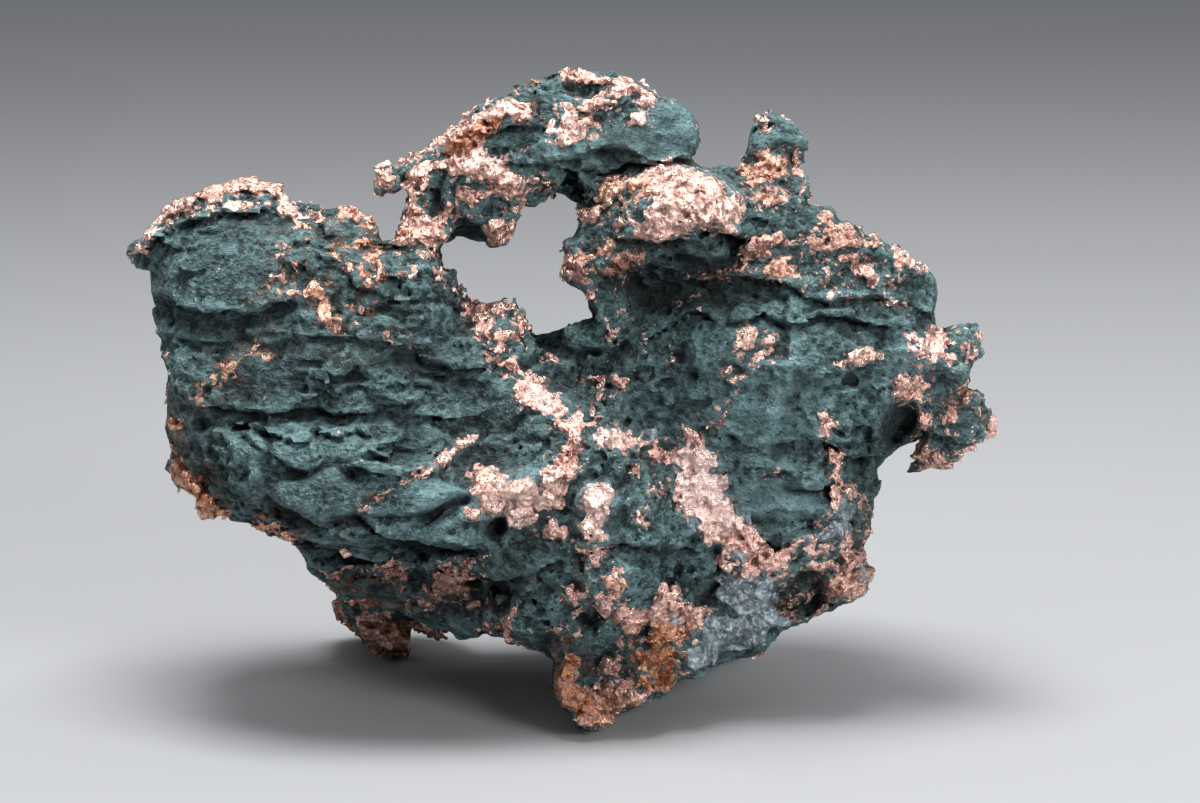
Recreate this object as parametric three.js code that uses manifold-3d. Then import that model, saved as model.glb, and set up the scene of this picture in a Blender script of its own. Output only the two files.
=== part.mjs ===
// A native copper nugget: greenstone grown through with copper, one solid piece with an arch over a hole.
// Millimetres, +Z up, -Y is the front. The origin is the middle of the footprint, on the resting plane.
import * as THREE from 'three';
import { MarchingCubes } from 'three/addons/objects/MarchingCubes.js';
import { ImprovedNoise } from 'three/addons/math/ImprovedNoise.js';
import { mergeVertices } from 'three/addons/utils/BufferGeometryUtils.js';
import Module from 'manifold-3d';

// Driving dimensions.
const HALF_SPAN = 39; // half the side of the cube that the surface is sampled in
const GRID_CELLS = 44; // cells along that side
const GRID_CENTRE = new THREE.Vector3(0.8, 1.5, 25.5);
const CELL = (2 * HALF_SPAN) / GRID_CELLS;
const LEAST_DEPTH = 0.05 * CELL; // keeps the surface off the grid's points, where triangles would shrink
const MOST_TRIANGLES = 20000; // room for the sampled surface
const SAME_CORNER = 0.001; // corners closer than this are one
const BLEND = 0.6; // how far neighbouring masses flow into each other
const ROUGHNESS = 0.9; // height of the broken surface's longest waves
const WAVE = 7; // length of those waves
const SLOPE_REACH = 0.1 * CELL; // how far to each side a slope is measured
const SQUARENESS = 2.4; // 2 is a ball, and more is squarer

// One mass of rock or copper: its centre, its half sizes, how it is turned in degrees, and how square it is.
const mass = (centre, half, turn = [0, 0, 0], square = SQUARENESS) => ({
  centre: new THREE.Vector3(...centre),
  half: new THREE.Vector3(...half),
  back: new THREE.Quaternion()
    .setFromEuler(new THREE.Euler(...turn.map(THREE.MathUtils.degToRad)))
    .invert(),
  square,
});

// The big slabby block on the left.
const LEFT_BLOCK = [
  mass([-20.4, 0, 28], [11.8, 10.5, 12], [0, 1, 0], 3.6),
  mass([-12, 0, 24], [9.5, 10.5, 8.6], [0, 12, 0], 2.8),
  mass([-25, 1, 35.8], [8.8, 8, 6.2], [0, -8, 0], 2.8),
  mass([-17.5, 1, 36], [4.6, 7, 4.2], [0, 0, 0], 2.8),
  mass([-30.8, -1, 36.6], [3.4, 4, 1.8], [0, 25, 0]),
  mass([-15, -7, 19.5], [13, 8, 5.2], [0, 16, 0], 2.8),
  mass([-11.5, 2, 13.3], [12, 9, 6.2], [0, 16, 0], 2.8),
  mass([-26.4, 2, 21], [4.6, 7, 5.6], [0, 12, 0], 3),
  mass([-19, 7.5, 27], [9, 5, 8], [18, 10, 22], 3.6),
];

// The arch that springs from the left block and comes down on the right one.
const ARCH = [
  mass([-11.6, -1.5, 36.5], [2.6, 5, 3.8]),
  mass([-10, -1, 40.8], [3, 4, 4], [0, 20, 0]),
  mass([-6, -1, 44], [5.4, 5, 3.7], [0, -36, 0]),
  mass([0, 0, 46.4], [7.2, 5.5, 4.3], [0, -14, 0]),
  mass([6.4, 0.5, 45.8], [4, 4.5, 3.1], [0, 10, 0]),
  mass([7.9, 0.5, 46.8], [3.2, 4, 2.9]),
  mass([-6, -3, 40], [2.4, 3, 2.2]),
  mass([-13.5, 0, 42.9], [1.8, 1.8, 1.4]),
  mass([-11.8, 0, 42.6], [2, 1.6, 1.4]),
  mass([6, 2, 42], [3.6, 4, 3.4]),
  mass([2.4, 3, 42.4], [2.6, 3.2, 2.4]),
];

// The right-hand mass, with its copper dome, spur and wing.
const RIGHT_BLOCK = [
  mass([14, 2, 27.5], [14, 11.5, 9.8], [0, 0, 0], 2.8),
  mass([8, -5, 39.7], [5.6, 6, 4.3], [0, -6, 0]),
  mass([2.8, -4, 37], [3.2, 4.6, 4]),
  mass([3, -2, 32.8], [3.6, 5, 4]),
  mass([17, 1.5, 37.2], [9.8, 8, 4.9], [0, 20, 0], 2.8),
  mass([23, 1, 32.3], [6.2, 8, 6.2], [0, 0, 0], 2.8),
  mass([16.4, 3, 43.6], [2.7, 3, 3.8], [0, 6, 0]),
  mass([26, 0, 28], [3.5, 5, 4]),
  mass([29.5, -1, 26.8], [3.6, 4, 4]),
  mass([31.2, -1, 30], [2.2, 2.5, 2.2]),
  mass([32, -1, 23.4], [2.6, 3, 2.2]),
  mass([29, -1, 20.5], [2.4, 2, 1.5]),
  mass([17, 10.5, 26], [9.5, 5.5, 10], [-14, 8, -18], 3.6),
];

// The middle, and what hangs under it.
const MIDDLE = [
  mass([0, 1, 21], [11, 11, 8.6], [0, 0, 0], 2.6),
  mass([1, -8, 17], [8, 6, 7]),
  mass([12, 0, 18], [12.8, 10, 8], [0, 0, 0], 2.8),
  mass([-5, -4, 31], [2.8, 3, 2.4]),
  mass([21, -2, 13.3], [4.1, 5, 4.4]),
  mass([14.4, 0, 10.3], [9, 8, 5.8], [0, -16, 0]),
  mass([5.4, -4, 8], [7.2, 7, 5.2]),
  mass([-3, -6, 9], [4, 4, 3.4]),
  mass([1, 10, 18], [11, 5, 6.5], [0, 14, 10], 3.4),
  mass([-1, 9.5, 11.5], [13, 5.5, 4.5], [0, -8, 0], 2.8),
];

// The three feet that it rests on: one in front, two at the back.
const FEET = [
  mass([3, -7, 4.2], [4.8, 4.6, 4.8]),
  mass([-15, 12.5, 7.5], [5.6, 5.4, 6], [25, -14, 0], 2.8),
  mass([-16.9, 15.4, 3], [3.6, 3.5, 4], [0, 0, 30], 2.8),
  mass([-13, 14, 4.6], [3, 3, 3.4], [0, 20, 0]),
  mass([9, 12, 8], [7, 5.4, 6.5], [20, 14, -15], 3),
  mass([11, 14.4, 3.2], [3.4, 3.4, 4.2], [0, 0, 20], 2.8),
  mass([7.4, 13.6, 5], [3.4, 3.2, 4.2], [0, -15, 0]),
];

const MASSES = [...LEFT_BLOCK, ...ARCH, ...RIGHT_BLOCK, ...MIDDLE, ...FEET];

// Roughly how far a point is outside one mass.
function outside(point, { centre, half, back, square }) {
  const p = point.clone().sub(centre).applyQuaternion(back);
  const distance = p.length();
  p.divide(half);
  const size =
    (Math.abs(p.x) ** square + Math.abs(p.y) ** square + Math.abs(p.z) ** square) ** (1 / square);
  return size > 0 ? distance - distance / size : -Math.min(half.x, half.y, half.z);
}

// Waves that break up the smooth masses, each set half as long and half as high as the one before.
const noise = new ImprovedNoise();
function waves(point) {
  let height = 0;
  for (const octave of [1, 2]) {
    const p = point.clone().multiplyScalar(octave / WAVE);
    height += (noise.noise(p.x, p.y, p.z) * ROUGHNESS) / octave;
  }
  return height;
}

// How deep a point is inside the nugget, with the masses blended where they meet.
function depth(point) {
  let sum = 0;
  for (const one of MASSES) sum += Math.exp(-outside(point, one) / BLEND);
  return Math.log(sum) * BLEND + waves(point);
}

// The depth's slope at a point, which points straight in.
function inward(point) {
  const slope = new THREE.Vector3();
  for (const axis of ['x', 'y', 'z']) {
    const ahead = point.clone();
    const behind = point.clone();
    ahead[axis] += SLOPE_REACH;
    behind[axis] -= SLOPE_REACH;
    slope[axis] = (depth(ahead) - depth(behind)) / (2 * SLOPE_REACH);
  }
  return slope;
}

// The nugget's surface as triangles between the sampling cube's points.
function sampledSurface() {
  const cells = new MarchingCubes(GRID_CELLS, undefined, false, false, MOST_TRIANGLES);
  const corner = GRID_CENTRE.clone().subScalar(HALF_SPAN);
  cells.isolation = 0;
  for (let i = 0; i < cells.field.length; i++) {
    const column = i % GRID_CELLS;
    const row = Math.floor(i / GRID_CELLS) % GRID_CELLS;
    const layer = Math.floor(i / GRID_CELLS ** 2);
    const inside = depth(new THREE.Vector3(column, row, layer).multiplyScalar(CELL).add(corner));
    cells.field[i] = Math.abs(inside) < LEAST_DEPTH ? Math.sign(inside || 1) * LEAST_DEPTH : inside;
  }
  cells.update();
  const count = cells.geometry.drawRange.count * 3;
  const corners = cells.geometry.getAttribute('position').array.slice(0, count);
  const triangles = new THREE.BufferGeometry();
  triangles.setAttribute('position', new THREE.BufferAttribute(corners, 3));
  triangles.scale(HALF_SPAN, HALF_SPAN, HALF_SPAN).translate(...GRID_CENTRE);
  return mergeVertices(triangles, SAME_CORNER);
}

// Moves each corner to the middle of its neighbours and back onto the surface, which evens the triangles out.
function evenOut(geometry) {
  const position = geometry.getAttribute('position');
  const middles = Array.from({ length: position.count }, () => new THREE.Vector3());
  const shares = new Array(position.count).fill(0);
  const index = geometry.index.array;
  for (let i = 0; i < index.length; i++) {
    const next = i % 3 === 2 ? i - 2 : i + 1;
    middles[index[i]].add(new THREE.Vector3().fromBufferAttribute(position, index[next]));
    shares[index[i]]++;
  }
  middles.forEach((middle, i) => {
    middle.divideScalar(shares[i]);
    const slope = inward(middle);
    middle.addScaledVector(slope, -depth(middle) / slope.lengthSq());
    position.setXYZ(i, ...middle);
  });
  return geometry;
}

const wasm = await Module();
wasm.setup();

const toSolid = (geometry) =>
  new wasm.Manifold(
    new wasm.Mesh({
      numProp: 3,
      vertProperties: geometry.getAttribute('position').array,
      triVerts: new Uint32Array(geometry.index.array),
    }),
  );

function toGeometry(solid) {
  const { vertProperties, triVerts } = solid.getMesh();
  return new THREE.BufferGeometry()
    .setAttribute('position', new THREE.BufferAttribute(vertProperties, 3))
    .setIndex(new THREE.BufferAttribute(triVerts, 1));
}

// Everything under the resting plane, as a box with merged corners.
function ground() {
  const box = new THREE.BoxGeometry(4 * HALF_SPAN, 4 * HALF_SPAN, HALF_SPAN);
  box.deleteAttribute('normal');
  box.deleteAttribute('uv');
  return mergeVertices(box.translate(0, 0, -HALF_SPAN / 2));
}

// The feet are cut flat where they stand, and the middle of the footprint comes to the origin.
function nugget() {
  const rough = toSolid(evenOut(evenOut(sampledSurface())));
  const geometry = toGeometry(rough.subtract(toSolid(ground())));
  geometry.computeBoundingBox();
  const middle = geometry.boundingBox.getCenter(new THREE.Vector3());
  geometry.translate(-middle.x, -middle.y, 0);
  const rock = new THREE.MeshStandardMaterial({ color: 0x4d6566, roughness: 0.85, metalness: 0.1 });
  const mesh = new THREE.Mesh(geometry, rock);
  mesh.name = 'nugget';
  return mesh;
}

const group = new THREE.Group();
group.add(nugget());
export default group;
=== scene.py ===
"""A native copper nugget: greenstone grown through with copper and a little quartz, on a pale floor.

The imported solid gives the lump's form. It is read as a distance field, the rock's broken relief is carved
into that field, and the copper and the quartz are grown on it, each as closed meshes of their own.
Lengths in this file are millimetres until a mesh is made, and the axes are the frame's own.
"""

import math
from concurrent.futures import ThreadPoolExecutor

import bpy
import numpy as np
import openvdb as vdb
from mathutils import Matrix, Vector


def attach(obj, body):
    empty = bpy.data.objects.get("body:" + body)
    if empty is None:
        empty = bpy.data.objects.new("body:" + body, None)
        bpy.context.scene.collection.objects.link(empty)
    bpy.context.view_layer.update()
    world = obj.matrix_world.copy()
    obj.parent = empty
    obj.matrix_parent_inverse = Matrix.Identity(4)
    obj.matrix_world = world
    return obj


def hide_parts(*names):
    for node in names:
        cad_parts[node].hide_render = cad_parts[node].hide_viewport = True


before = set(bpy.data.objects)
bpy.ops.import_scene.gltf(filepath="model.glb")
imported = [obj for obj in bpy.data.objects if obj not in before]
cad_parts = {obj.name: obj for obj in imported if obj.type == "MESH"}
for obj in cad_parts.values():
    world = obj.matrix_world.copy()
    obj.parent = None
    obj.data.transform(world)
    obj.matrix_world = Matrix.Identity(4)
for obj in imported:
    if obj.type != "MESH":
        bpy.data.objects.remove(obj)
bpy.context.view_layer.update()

MM = 0.001  # in Blender's metres
COARSE = 0.52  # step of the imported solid's own field
BAND = 4.2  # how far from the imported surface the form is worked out
REACH = 2.3  # how far from the form the rock's relief is worked out
BED = 1.9  # how thick the rock's layers are
ROOT = 0.7  # how deep copper and quartz are rooted in the rock
NONE_NEAR = -3  # what a chart of patches says where none is near
SHARP = 24  # the angle between two faces that makes their edge sharp, in degrees
MIDDLE = Vector((0, 0, 0.025))  # where the lights point, in metres
THREADS = 4

# How many times finer each grid is than the form's, and the most triangles of each piece. The pieces of
# copper on the front have their own.
ROCK_SPLIT, ROCK_MOST = 2, 198000
FRONT_SPLIT = 4
BACK_SPLIT, BACK_MOST = 3, 130000
QUARTZ_SPLIT, QUARTZ_MOST = 3, 40000

# How readily the rock's mesh is thinned on the front, where more of it is kept, and elsewhere.
FRONT_THINNING = 0.35
REST_THINNING = 0.7

# The front viewpoint, and the upright chart plane in front of the nugget that features are placed on.
# A feature's place on the chart is where the line from the viewpoint through it meets the plane.
EYE = np.array([2.45, -263.98, 75.69], np.float32)
AIM = np.array([2.45, -2.18, 24.8], np.float32)
CHART_Y = -8.18
CHART_X = 0.27  # what the chart's places across are ahead of the frame's x

# The nugget's outline on the chart, and the hole under its arch.
OUTLINE = [
    (-34.1, 37.6), (-33.6, 38.4), (-32.9, 38.7), (-32.4, 39.6), (-31.4, 40.4), (-30.9, 41.3), (-30.2, 41.9),
    (-28.4, 42.4), (-27.2, 43), (-25.2, 43.3), (-24.5, 43.5), (-23.8, 43.6), (-23, 43.1), (-21.9, 42.9),
    (-21.6, 42), (-21, 41.6), (-19.5, 41.4), (-18.4, 41), (-17.6, 41.3), (-16.4, 41.3), (-15.8, 40.7),
    (-14.9, 40.5), (-14.5, 39.6), (-14.4, 38.7), (-13.6, 38.4), (-13.1, 39.2), (-12.6, 40.5), (-12.3, 41.2),
    (-12.1, 42.6), (-13.2, 42.6), (-14.6, 42.2), (-14.9, 43.6), (-14.6, 44.6), (-13.9, 44.8), (-12.9, 44.4),
    (-12.2, 45.1), (-11.2, 45.5), (-10.4, 46.2), (-9.4, 46.7), (-9, 47.4), (-7.8, 48.2), (-7, 49.1),
    (-6.7, 50), (-5.9, 50.2), (-4.9, 50.4), (-4.2, 51), (-3.1, 51.1), (-2.4, 51.8), (-1.2, 52.1),
    (-0.7, 52.5), (0.1, 52.6), (0.7, 52.4), (1.8, 52.5), (3, 52.2), (4, 51.6), (5.2, 51.2), (6, 51.1),
    (6.7, 50.4), (7.4, 49.7), (8.2, 49.6), (9.2, 49), (9.9, 48.3), (10.3, 47.6), (10.2, 46), (9.6, 45.2),
    (10.1, 44.4), (11.2, 44.2), (12, 44.4), (13.3, 44.4), (13.6, 45.3), (14.2, 45.6), (14.1, 46.5),
    (14.4, 47.6), (15, 48.4), (15.8, 48.7), (16.4, 48.3), (17.3, 48.1), (18.1, 47.3), (18.6, 46.4),
    (19.4, 46.1), (18.8, 45.7), (18.7, 44.6), (19.2, 43.6), (18.8, 43), (19, 42.1), (18.3, 41.5),
    (19.8, 41.2), (20.3, 41.4), (20.9, 41), (21, 40.2), (22.2, 40), (22.9, 39.6), (23.2, 38.9), (24, 39.4),
    (24.6, 38.6), (25.1, 38.2), (25.8, 38.4), (26.4, 37.8), (26.9, 37), (27.8, 36.8), (28.2, 36.3),
    (28.7, 35.6), (28.9, 34.8), (28.9, 33.8), (28.5, 33), (29.2, 32), (30.2, 31.8), (30.8, 32.4),
    (31.6, 32.3), (32.3, 32.5), (32.6, 31.5), (33.3, 30.5), (32.9, 29.9), (32.6, 29.2), (31.9, 29.1),
    (31.5, 28.4), (31.7, 27.6), (31.3, 27.2), (32.2, 26.9), (33.1, 26.1), (33.6, 26.2), (33.9, 25.4),
    (34.2, 24.8), (33.8, 24.2), (33.7, 23.2), (32.9, 22.6), (31.9, 21.7), (31, 21.1), (30.4, 20.4),
    (29.8, 20.1), (29.3, 20.6), (28.2, 20.3), (26.6, 20.2), (26.1, 20.5), (27, 21.3), (27.4, 22.5),
    (26.7, 22.8), (26, 22.3), (25.3, 21.7), (24.8, 20.4), (24.9, 19), (24.2, 18), (24, 16), (24.1, 14.9),
    (23.5, 14.2), (23.7, 13), (24.3, 12.4), (23.9, 11.6), (23.9, 10.4), (22.8, 9.8), (20.5, 9), (19.2, 8.4),
    (17.2, 7.6), (16.4, 6.8), (15.8, 5.7), (14.6, 5.2), (13.6, 5.2), (12.3, 4.7), (11.2, 4.4), (10.8, 3.6),
    (9.2, 3.6), (8, 2.2), (6.6, 1.6), (5.4, 1.1), (4.4, 0.6), (4, -0.4), (2.2, -0.9), (0.8, -0.6),
    (0.3, 0.9), (-0.4, 1.2), (-1.2, 2), (-1.3, 3.6), (-0.9, 4.3), (-0.9, 5.2), (-2.4, 5.9), (-3.6, 6.4),
    (-4.9, 6.3), (-5.2, 7), (-6.6, 7.2), (-7.2, 6.7), (-9.2, 6.6), (-10.8, 7.2), (-12.5, 8), (-12.6, 6.8),
    (-12.6, 5.3), (-14.6, 5.2), (-15.6, 6.4), (-16.8, 7.6), (-18, 8.6), (-18.4, 9.4), (-17.8, 10.4),
    (-19.2, 11.6), (-20.1, 12.2), (-20.4, 13), (-21.2, 14.2), (-22.4, 15), (-23.8, 15.1), (-24.9, 15.9),
    (-26, 16.1), (-27, 16.7), (-28.6, 16.5), (-29.2, 17.4), (-28.9, 18.2), (-29.4, 18.9), (-30.4, 19.1),
    (-31, 20), (-31.6, 20.8), (-31.1, 22), (-31, 23), (-31.3, 24.2), (-30.9, 25), (-31.1, 26.4), (-31, 28),
    (-31.1, 29), (-31.9, 30.3), (-32.1, 31.4), (-32.1, 34.4), (-32.1, 35.9), (-32.9, 36.2), (-33.3, 36.8),
]
HOLE = [
    (-9.7, 37.9), (-8.9, 38.6), (-7.4, 38.6), (-6.3, 38.8), (-6, 38.2), (-4.4, 38.1), (-3.7, 38.9),
    (-3.3, 39.8), (-3.3, 41.3), (-2.2, 41.2), (-1, 42.3), (-0.3, 42.7), (0.1, 42.2), (0.7, 41.3),
    (1.1, 39.6), (0.7, 38.9), (-0.3, 38.6), (0, 36.8), (-0.5, 36.2), (0.2, 35.4), (1.5, 34.7), (2.3, 32.6),
    (-0.2, 31.8), (-2.3, 31.1), (-2.7, 32), (-3.7, 34.2), (-5.6, 33.9), (-6.8, 34.5), (-7.8, 34.9),
    (-8.4, 36.2), (-9.5, 36.5),
]

# Ledges: how far the rock above the line stands out, how far that reaches up and down, how deep the crack
# under it is, and points of the line on the chart.
LEDGES = [
    (0.7, 1.2, 2.5, 0.5, [
        (-33, 37.9), (-31.6, 39), (-29.8, 39.8), (-28.4, 40.4), (-26.4, 40.5), (-24.6, 41), (-23, 41.1),
    ]),
    (0.9, 5, 2.2, 0.3, [
        (-31.8, 34.3), (-30.5, 33.9), (-29, 33.3), (-27, 33), (-25, 33), (-23.2, 33.3), (-21.6, 34),
    ]),
    (0.25, 1.2, 1.2, 0.15, [(-30.3, 35.7), (-28.6, 36.5), (-27, 37), (-25.6, 37.9)]),
    (0.3, 1, 1, 0.3, [(-21.4, 38.3), (-20, 38.4), (-18.4, 38)]),
    (0.3, 1, 1, 0.3, [(-20.8, 37), (-19.5, 37.4), (-17.8, 37.3)]),
    (0.7, 1.8, 1.2, 0.25, [
        (-28.2, 25.6), (-25.8, 25.2), (-23.5, 24.9), (-21.6, 25.3), (-20.2, 25.5), (-18, 24.9), (-16, 24.9),
        (-14.6, 25.4), (-12, 25.8),
    ]),
    (0.5, 1, 0.9, 0.4, [(-21.5, 25.8), (-19.5, 26.5), (-18, 26.9), (-15.5, 27), (-13, 27.3), (-11, 27.2)]),
    (0.6, 1.2, 1, 0.6, [
        (-25.8, 24), (-23.9, 23.7), (-21.8, 22.9), (-19.8, 23.4), (-17.8, 23), (-16.6, 23.6), (-15.5, 23.4),
    ]),
    (0.4, 1.4, 1.4, 0.3, [(-24.9, 22.8), (-24.1, 22.4), (-22.9, 21.5), (-21.5, 20.6), (-20.2, 20.2)]),
    (-0.5, 0.8, 3, 0.5, [
        (-23.2, 19.3), (-21.5, 19.7), (-20, 20), (-18.4, 20.2), (-17.2, 19.7), (-15.6, 19.6),
    ]),
    (1.1, 2, 2.2, 0.5, [
        (-22.6, 17.9), (-20.5, 17), (-19.5, 16.2), (-18, 16.4), (-16.2, 17.2), (-15.4, 16.8),
    ]),
    (1.2, 2, 2.4, 0.7, [
        (-15.6, 16.6), (-14.9, 15.5), (-13.6, 15), (-11, 14.7), (-8.8, 14.3), (-7.4, 14.2),
    ]),
    (0.4, 1, 0.8, 0.5, [(-14.4, 16.8), (-12.6, 16.6), (-11.4, 16.9)]),
    (0.4, 1, 0.8, 0.4, [(-15.4, 21.4), (-14, 21.5), (-12.5, 22), (-10.8, 22.6)]),
    (0.4, 1, 0.8, 0.4, [(-17, 20.6), (-15, 20.5), (-13.2, 20.1), (-11.4, 20.6)]),
    (0.7, 1.4, 1.2, 0.7, [(-11.6, 29.6), (-9.1, 28.5), (-6.7, 28.6)]),
    (0.6, 1.6, 1.4, 0.4, [(-16.8, 35.9), (-16.2, 35.2), (-15, 34.8), (-14.2, 34.2), (-12, 33.9)]),
    (0.5, 1.6, 1.4, 0.2, [(-29.5, 31), (-27, 30.6), (-24, 31.4), (-21, 31)]),
    (0.8, 1.8, 2, 0.5, [
        (9.8, 35.6), (12, 35.8), (14, 35.7), (16, 35.5), (18, 35), (19.2, 34.2), (21, 34), (23, 34.2),
        (25, 34.1), (27.8, 33.2),
    ]),
    (0.6, 1.2, 1.6, 0.7, [
        (6.6, 31.2), (8.4, 32.2), (10, 33.2), (11.5, 32.4), (13, 32.2), (14.5, 32.7), (15.6, 33.1),
        (17.2, 32.1), (19, 32.8), (21, 32.6), (23, 32.2), (25, 32),
    ]),
    (0.3, 0.8, 0.8, 0.4, [(21.6, 26), (23, 26.7), (24.6, 27)]),
    (0.3, 0.8, 0.8, 0.4, [(20.6, 23.9), (22, 23.7), (23.4, 24)]),
    (0.7, 1.4, 1.6, 0.6, [(20.4, 22.9), (22, 21.6), (23.5, 21.7), (25.4, 21.6)]),
    (0.4, 1, 1.2, 0.6, [(17.4, 19.8), (18, 19.3), (19, 18.9), (20.3, 19.3)]),
    (0.4, 0.8, 0.8, 0.5, [(0.4, 30.2), (3, 29.9), (4.7, 30.5)]),
    (0.3, 0.8, 0.8, 0.4, [(13.4, 40.3), (15.5, 40.3)]),
    (0.7, 1.2, 1.4, 0.4, [(-0.4, 45), (1.8, 45.4), (2.8, 45.9), (4.4, 45.9), (5.4, 45.4)]),
    (0.5, 1, 1, 0.3, [(-5, 44.8), (-2.6, 44.4), (0.4, 44.2), (2.4, 44.5)]),
    (0.9, 1, 1.6, 0.7, [(2.6, 44.3), (4.4, 44.3), (5.8, 44.7), (7.4, 45), (9.6, 45.1)]),
    (1, 2.4, 2.4, 0.2, [
        (4.6, 39), (7, 38.5), (9, 39.2), (10, 39.8), (11.5, 39.9), (12.6, 39.5), (13.6, 39),
    ]),
    (0.6, 1.2, 1.2, 0.5, [(-7.4, 46), (-6, 47.1), (-4.6, 47.4), (-3, 47.8)]),
    (0.5, 1.2, 1.2, 0.4, [(0.6, 13.6), (2.6, 14.6), (5.2, 14.4), (8.5, 14.2), (11.6, 14)]),
    (0.5, 1, 1, 0.4, [(-6.8, 12), (-4.6, 11.6), (-2.8, 12.2), (-0.6, 13.2)]),
    (0.3, 1, 1, 0.3, [(12.5, 29.2), (15, 28.6), (17.5, 28.4), (20, 29)]),
    (0.25, 1, 1, 0.3, [(5.5, 26.4), (8, 25.6), (10.5, 26)]),
    (0.3, 1, 1, 0.3, [(12.5, 23.4), (15, 22.4), (18, 22.6)]),
]

# Cracks that run down: how deep, how wide, and points of the line on the chart.
CRACKS = [
    (0.5, 0.16, [(-19.6, 23.5), (-19.2, 22.4), (-18.6, 20.8)]),
    (0.5, 0.2, [(-22.8, 28.9), (-22.4, 28.4), (-21.9, 27.7)]), (0.4, 0.16, [(-9.7, 27.8), (-9.1, 24.5)]),
    (0.5, 0.2, [(-15.9, 17.2), (-15, 18.4), (-13.9, 19.4)]),
    (0.9, 0.35, [(-0.5, 13.6), (0.5, 13.8), (0.9, 12), (1, 10), (1.5, 8.4), (3, 7.2)]),
    (1, 0.35, [(11.8, 14), (12, 11.8), (10.8, 9.8), (9.6, 8), (9, 5.8)]),
    (0.4, 0.15, [(6.1, 46.9), (6.7, 46.1)]), (0.8, 0.35, [(-5.2, 10.6), (-4.9, 8.8), (-4.9, 7.2)]),
    (0.8, 0.35, [(-9.2, 44.2), (-9.8, 42.8), (-9.9, 41.2)]),
    (0.5, 0.2, [(18.6, 41.8), (17.4, 42.6), (16.6, 43)]), (0.4, 0.15, [(14.3, 27.1), (14.7, 26.4)]),
]

# Hollows, and below zero swellings: across, up, half length, half width, lean in degrees, depth.
HOLLOWS = [
    (-4.3, 46.5, 2.2, 1.2, 8, 0.7), (1, 50.3, 1.6, 0.6, -8, 0.8), (3.2, 45.5, 1.6, 0.5, 0, 0.6),
    (1.3, 42.5, 1.5, 1.3, -20, 0.6), (4, 44.6, 1.2, 0.7, -10, 0.9), (8.1, 47.8, 1.2, 0.6, 10, 0.4),
    (-7.5, 39.3, 1.3, 0.9, 0, 1.4), (-5.4, 41.3, 1.1, 0.9, 0, 0.8), (11, 37.8, 3.4, 1.8, -10, 1.4),
    (12.8, 34.4, 3.2, 1, -5, 0.6), (8.6, 36.2, 2.2, 1.5, 0, 0.9), (26.2, 24.2, 1.2, 1.8, -30, 1.6),
    (17.5, 16.4, 3.4, 0.8, -4, 1.2), (17.6, 18.2, 3, 1.2, -10, 0.5), (-9.4, 17.3, 1.9, 0.7, 20, 1.5),
    (-5.5, 15.8, 1, 0.9, 0, 1.6), (-5.2, 11, 1, 0.7, 0, 0.8), (18.6, 10.4, 2.3, 1.7, 20, 1.5),
    (-29.5, 21.8, 3.2, 1.1, -55, 0.5), (-26, 17.6, 3.2, 1, -28, 0.4), (-14, 13.8, 5.5, 0.9, 2, 1.2),
    (-18.9, 38.9, 1.2, 0.5, -10, 0.4), (1.9, 7.9, 1, 2, -20, 0.8), (-26.6, 31.9, 4, 1, -3, 0.6),
    (-13.2, 35, 1.4, 0.7, -15, 0.8), (-2.5, 10.2, 0.7, 0.7, 0, 0.4), (17.2, 45.2, 1.1, 0.8, -20, 0.8),
    (7.5, 33.8, 2.4, 1.2, 10, 0.7), (-2.1, 8.6, 2.6, 1.8, 5, -0.9), (-4.7, 13.2, 2, 1.1, -20, -0.8),
    (-15.6, 26.3, 4.2, 0.8, 4, -0.35), (-19, 18.4, 3.6, 1.4, -4, -0.4), (-11.6, 18, 3, 1.1, 14, -0.5),
    (8.6, 42, 4.4, 3, -8, -0.7), (7.4, 4.5, 1.9, 1.9, 0, -0.5), (2.5, 18.2, 1.8, 1.6, 0, -0.7),
    (-4.6, 18.6, 3.4, 2.2, 5, -0.8), (22.3, 11.2, 1.9, 1.5, 10, -0.6), (8.2, 47.2, 2.4, 2.6, 0, -0.5),
]

# Stretches of the front where the break is smooth: across, up, half length, half width, lean, amount.
CALM = [
    (-26.8, 36, 6, 3, 8, 1), (-19, 18.3, 4, 1.7, -4, 1), (17.3, 18.4, 3.4, 1.6, -10, 1),
    (12.5, 25.5, 7.5, 4.4, 0, 0.25), (-11.5, 18, 3.4, 1.4, 12, 1), (7.5, 47.2, 3.4, 2.2, -15, 1),
    (7.4, 4.4, 2.4, 2.4, 0, 1), (19.5, 39.5, 4, 1.6, -15, 0.6),
]

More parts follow.
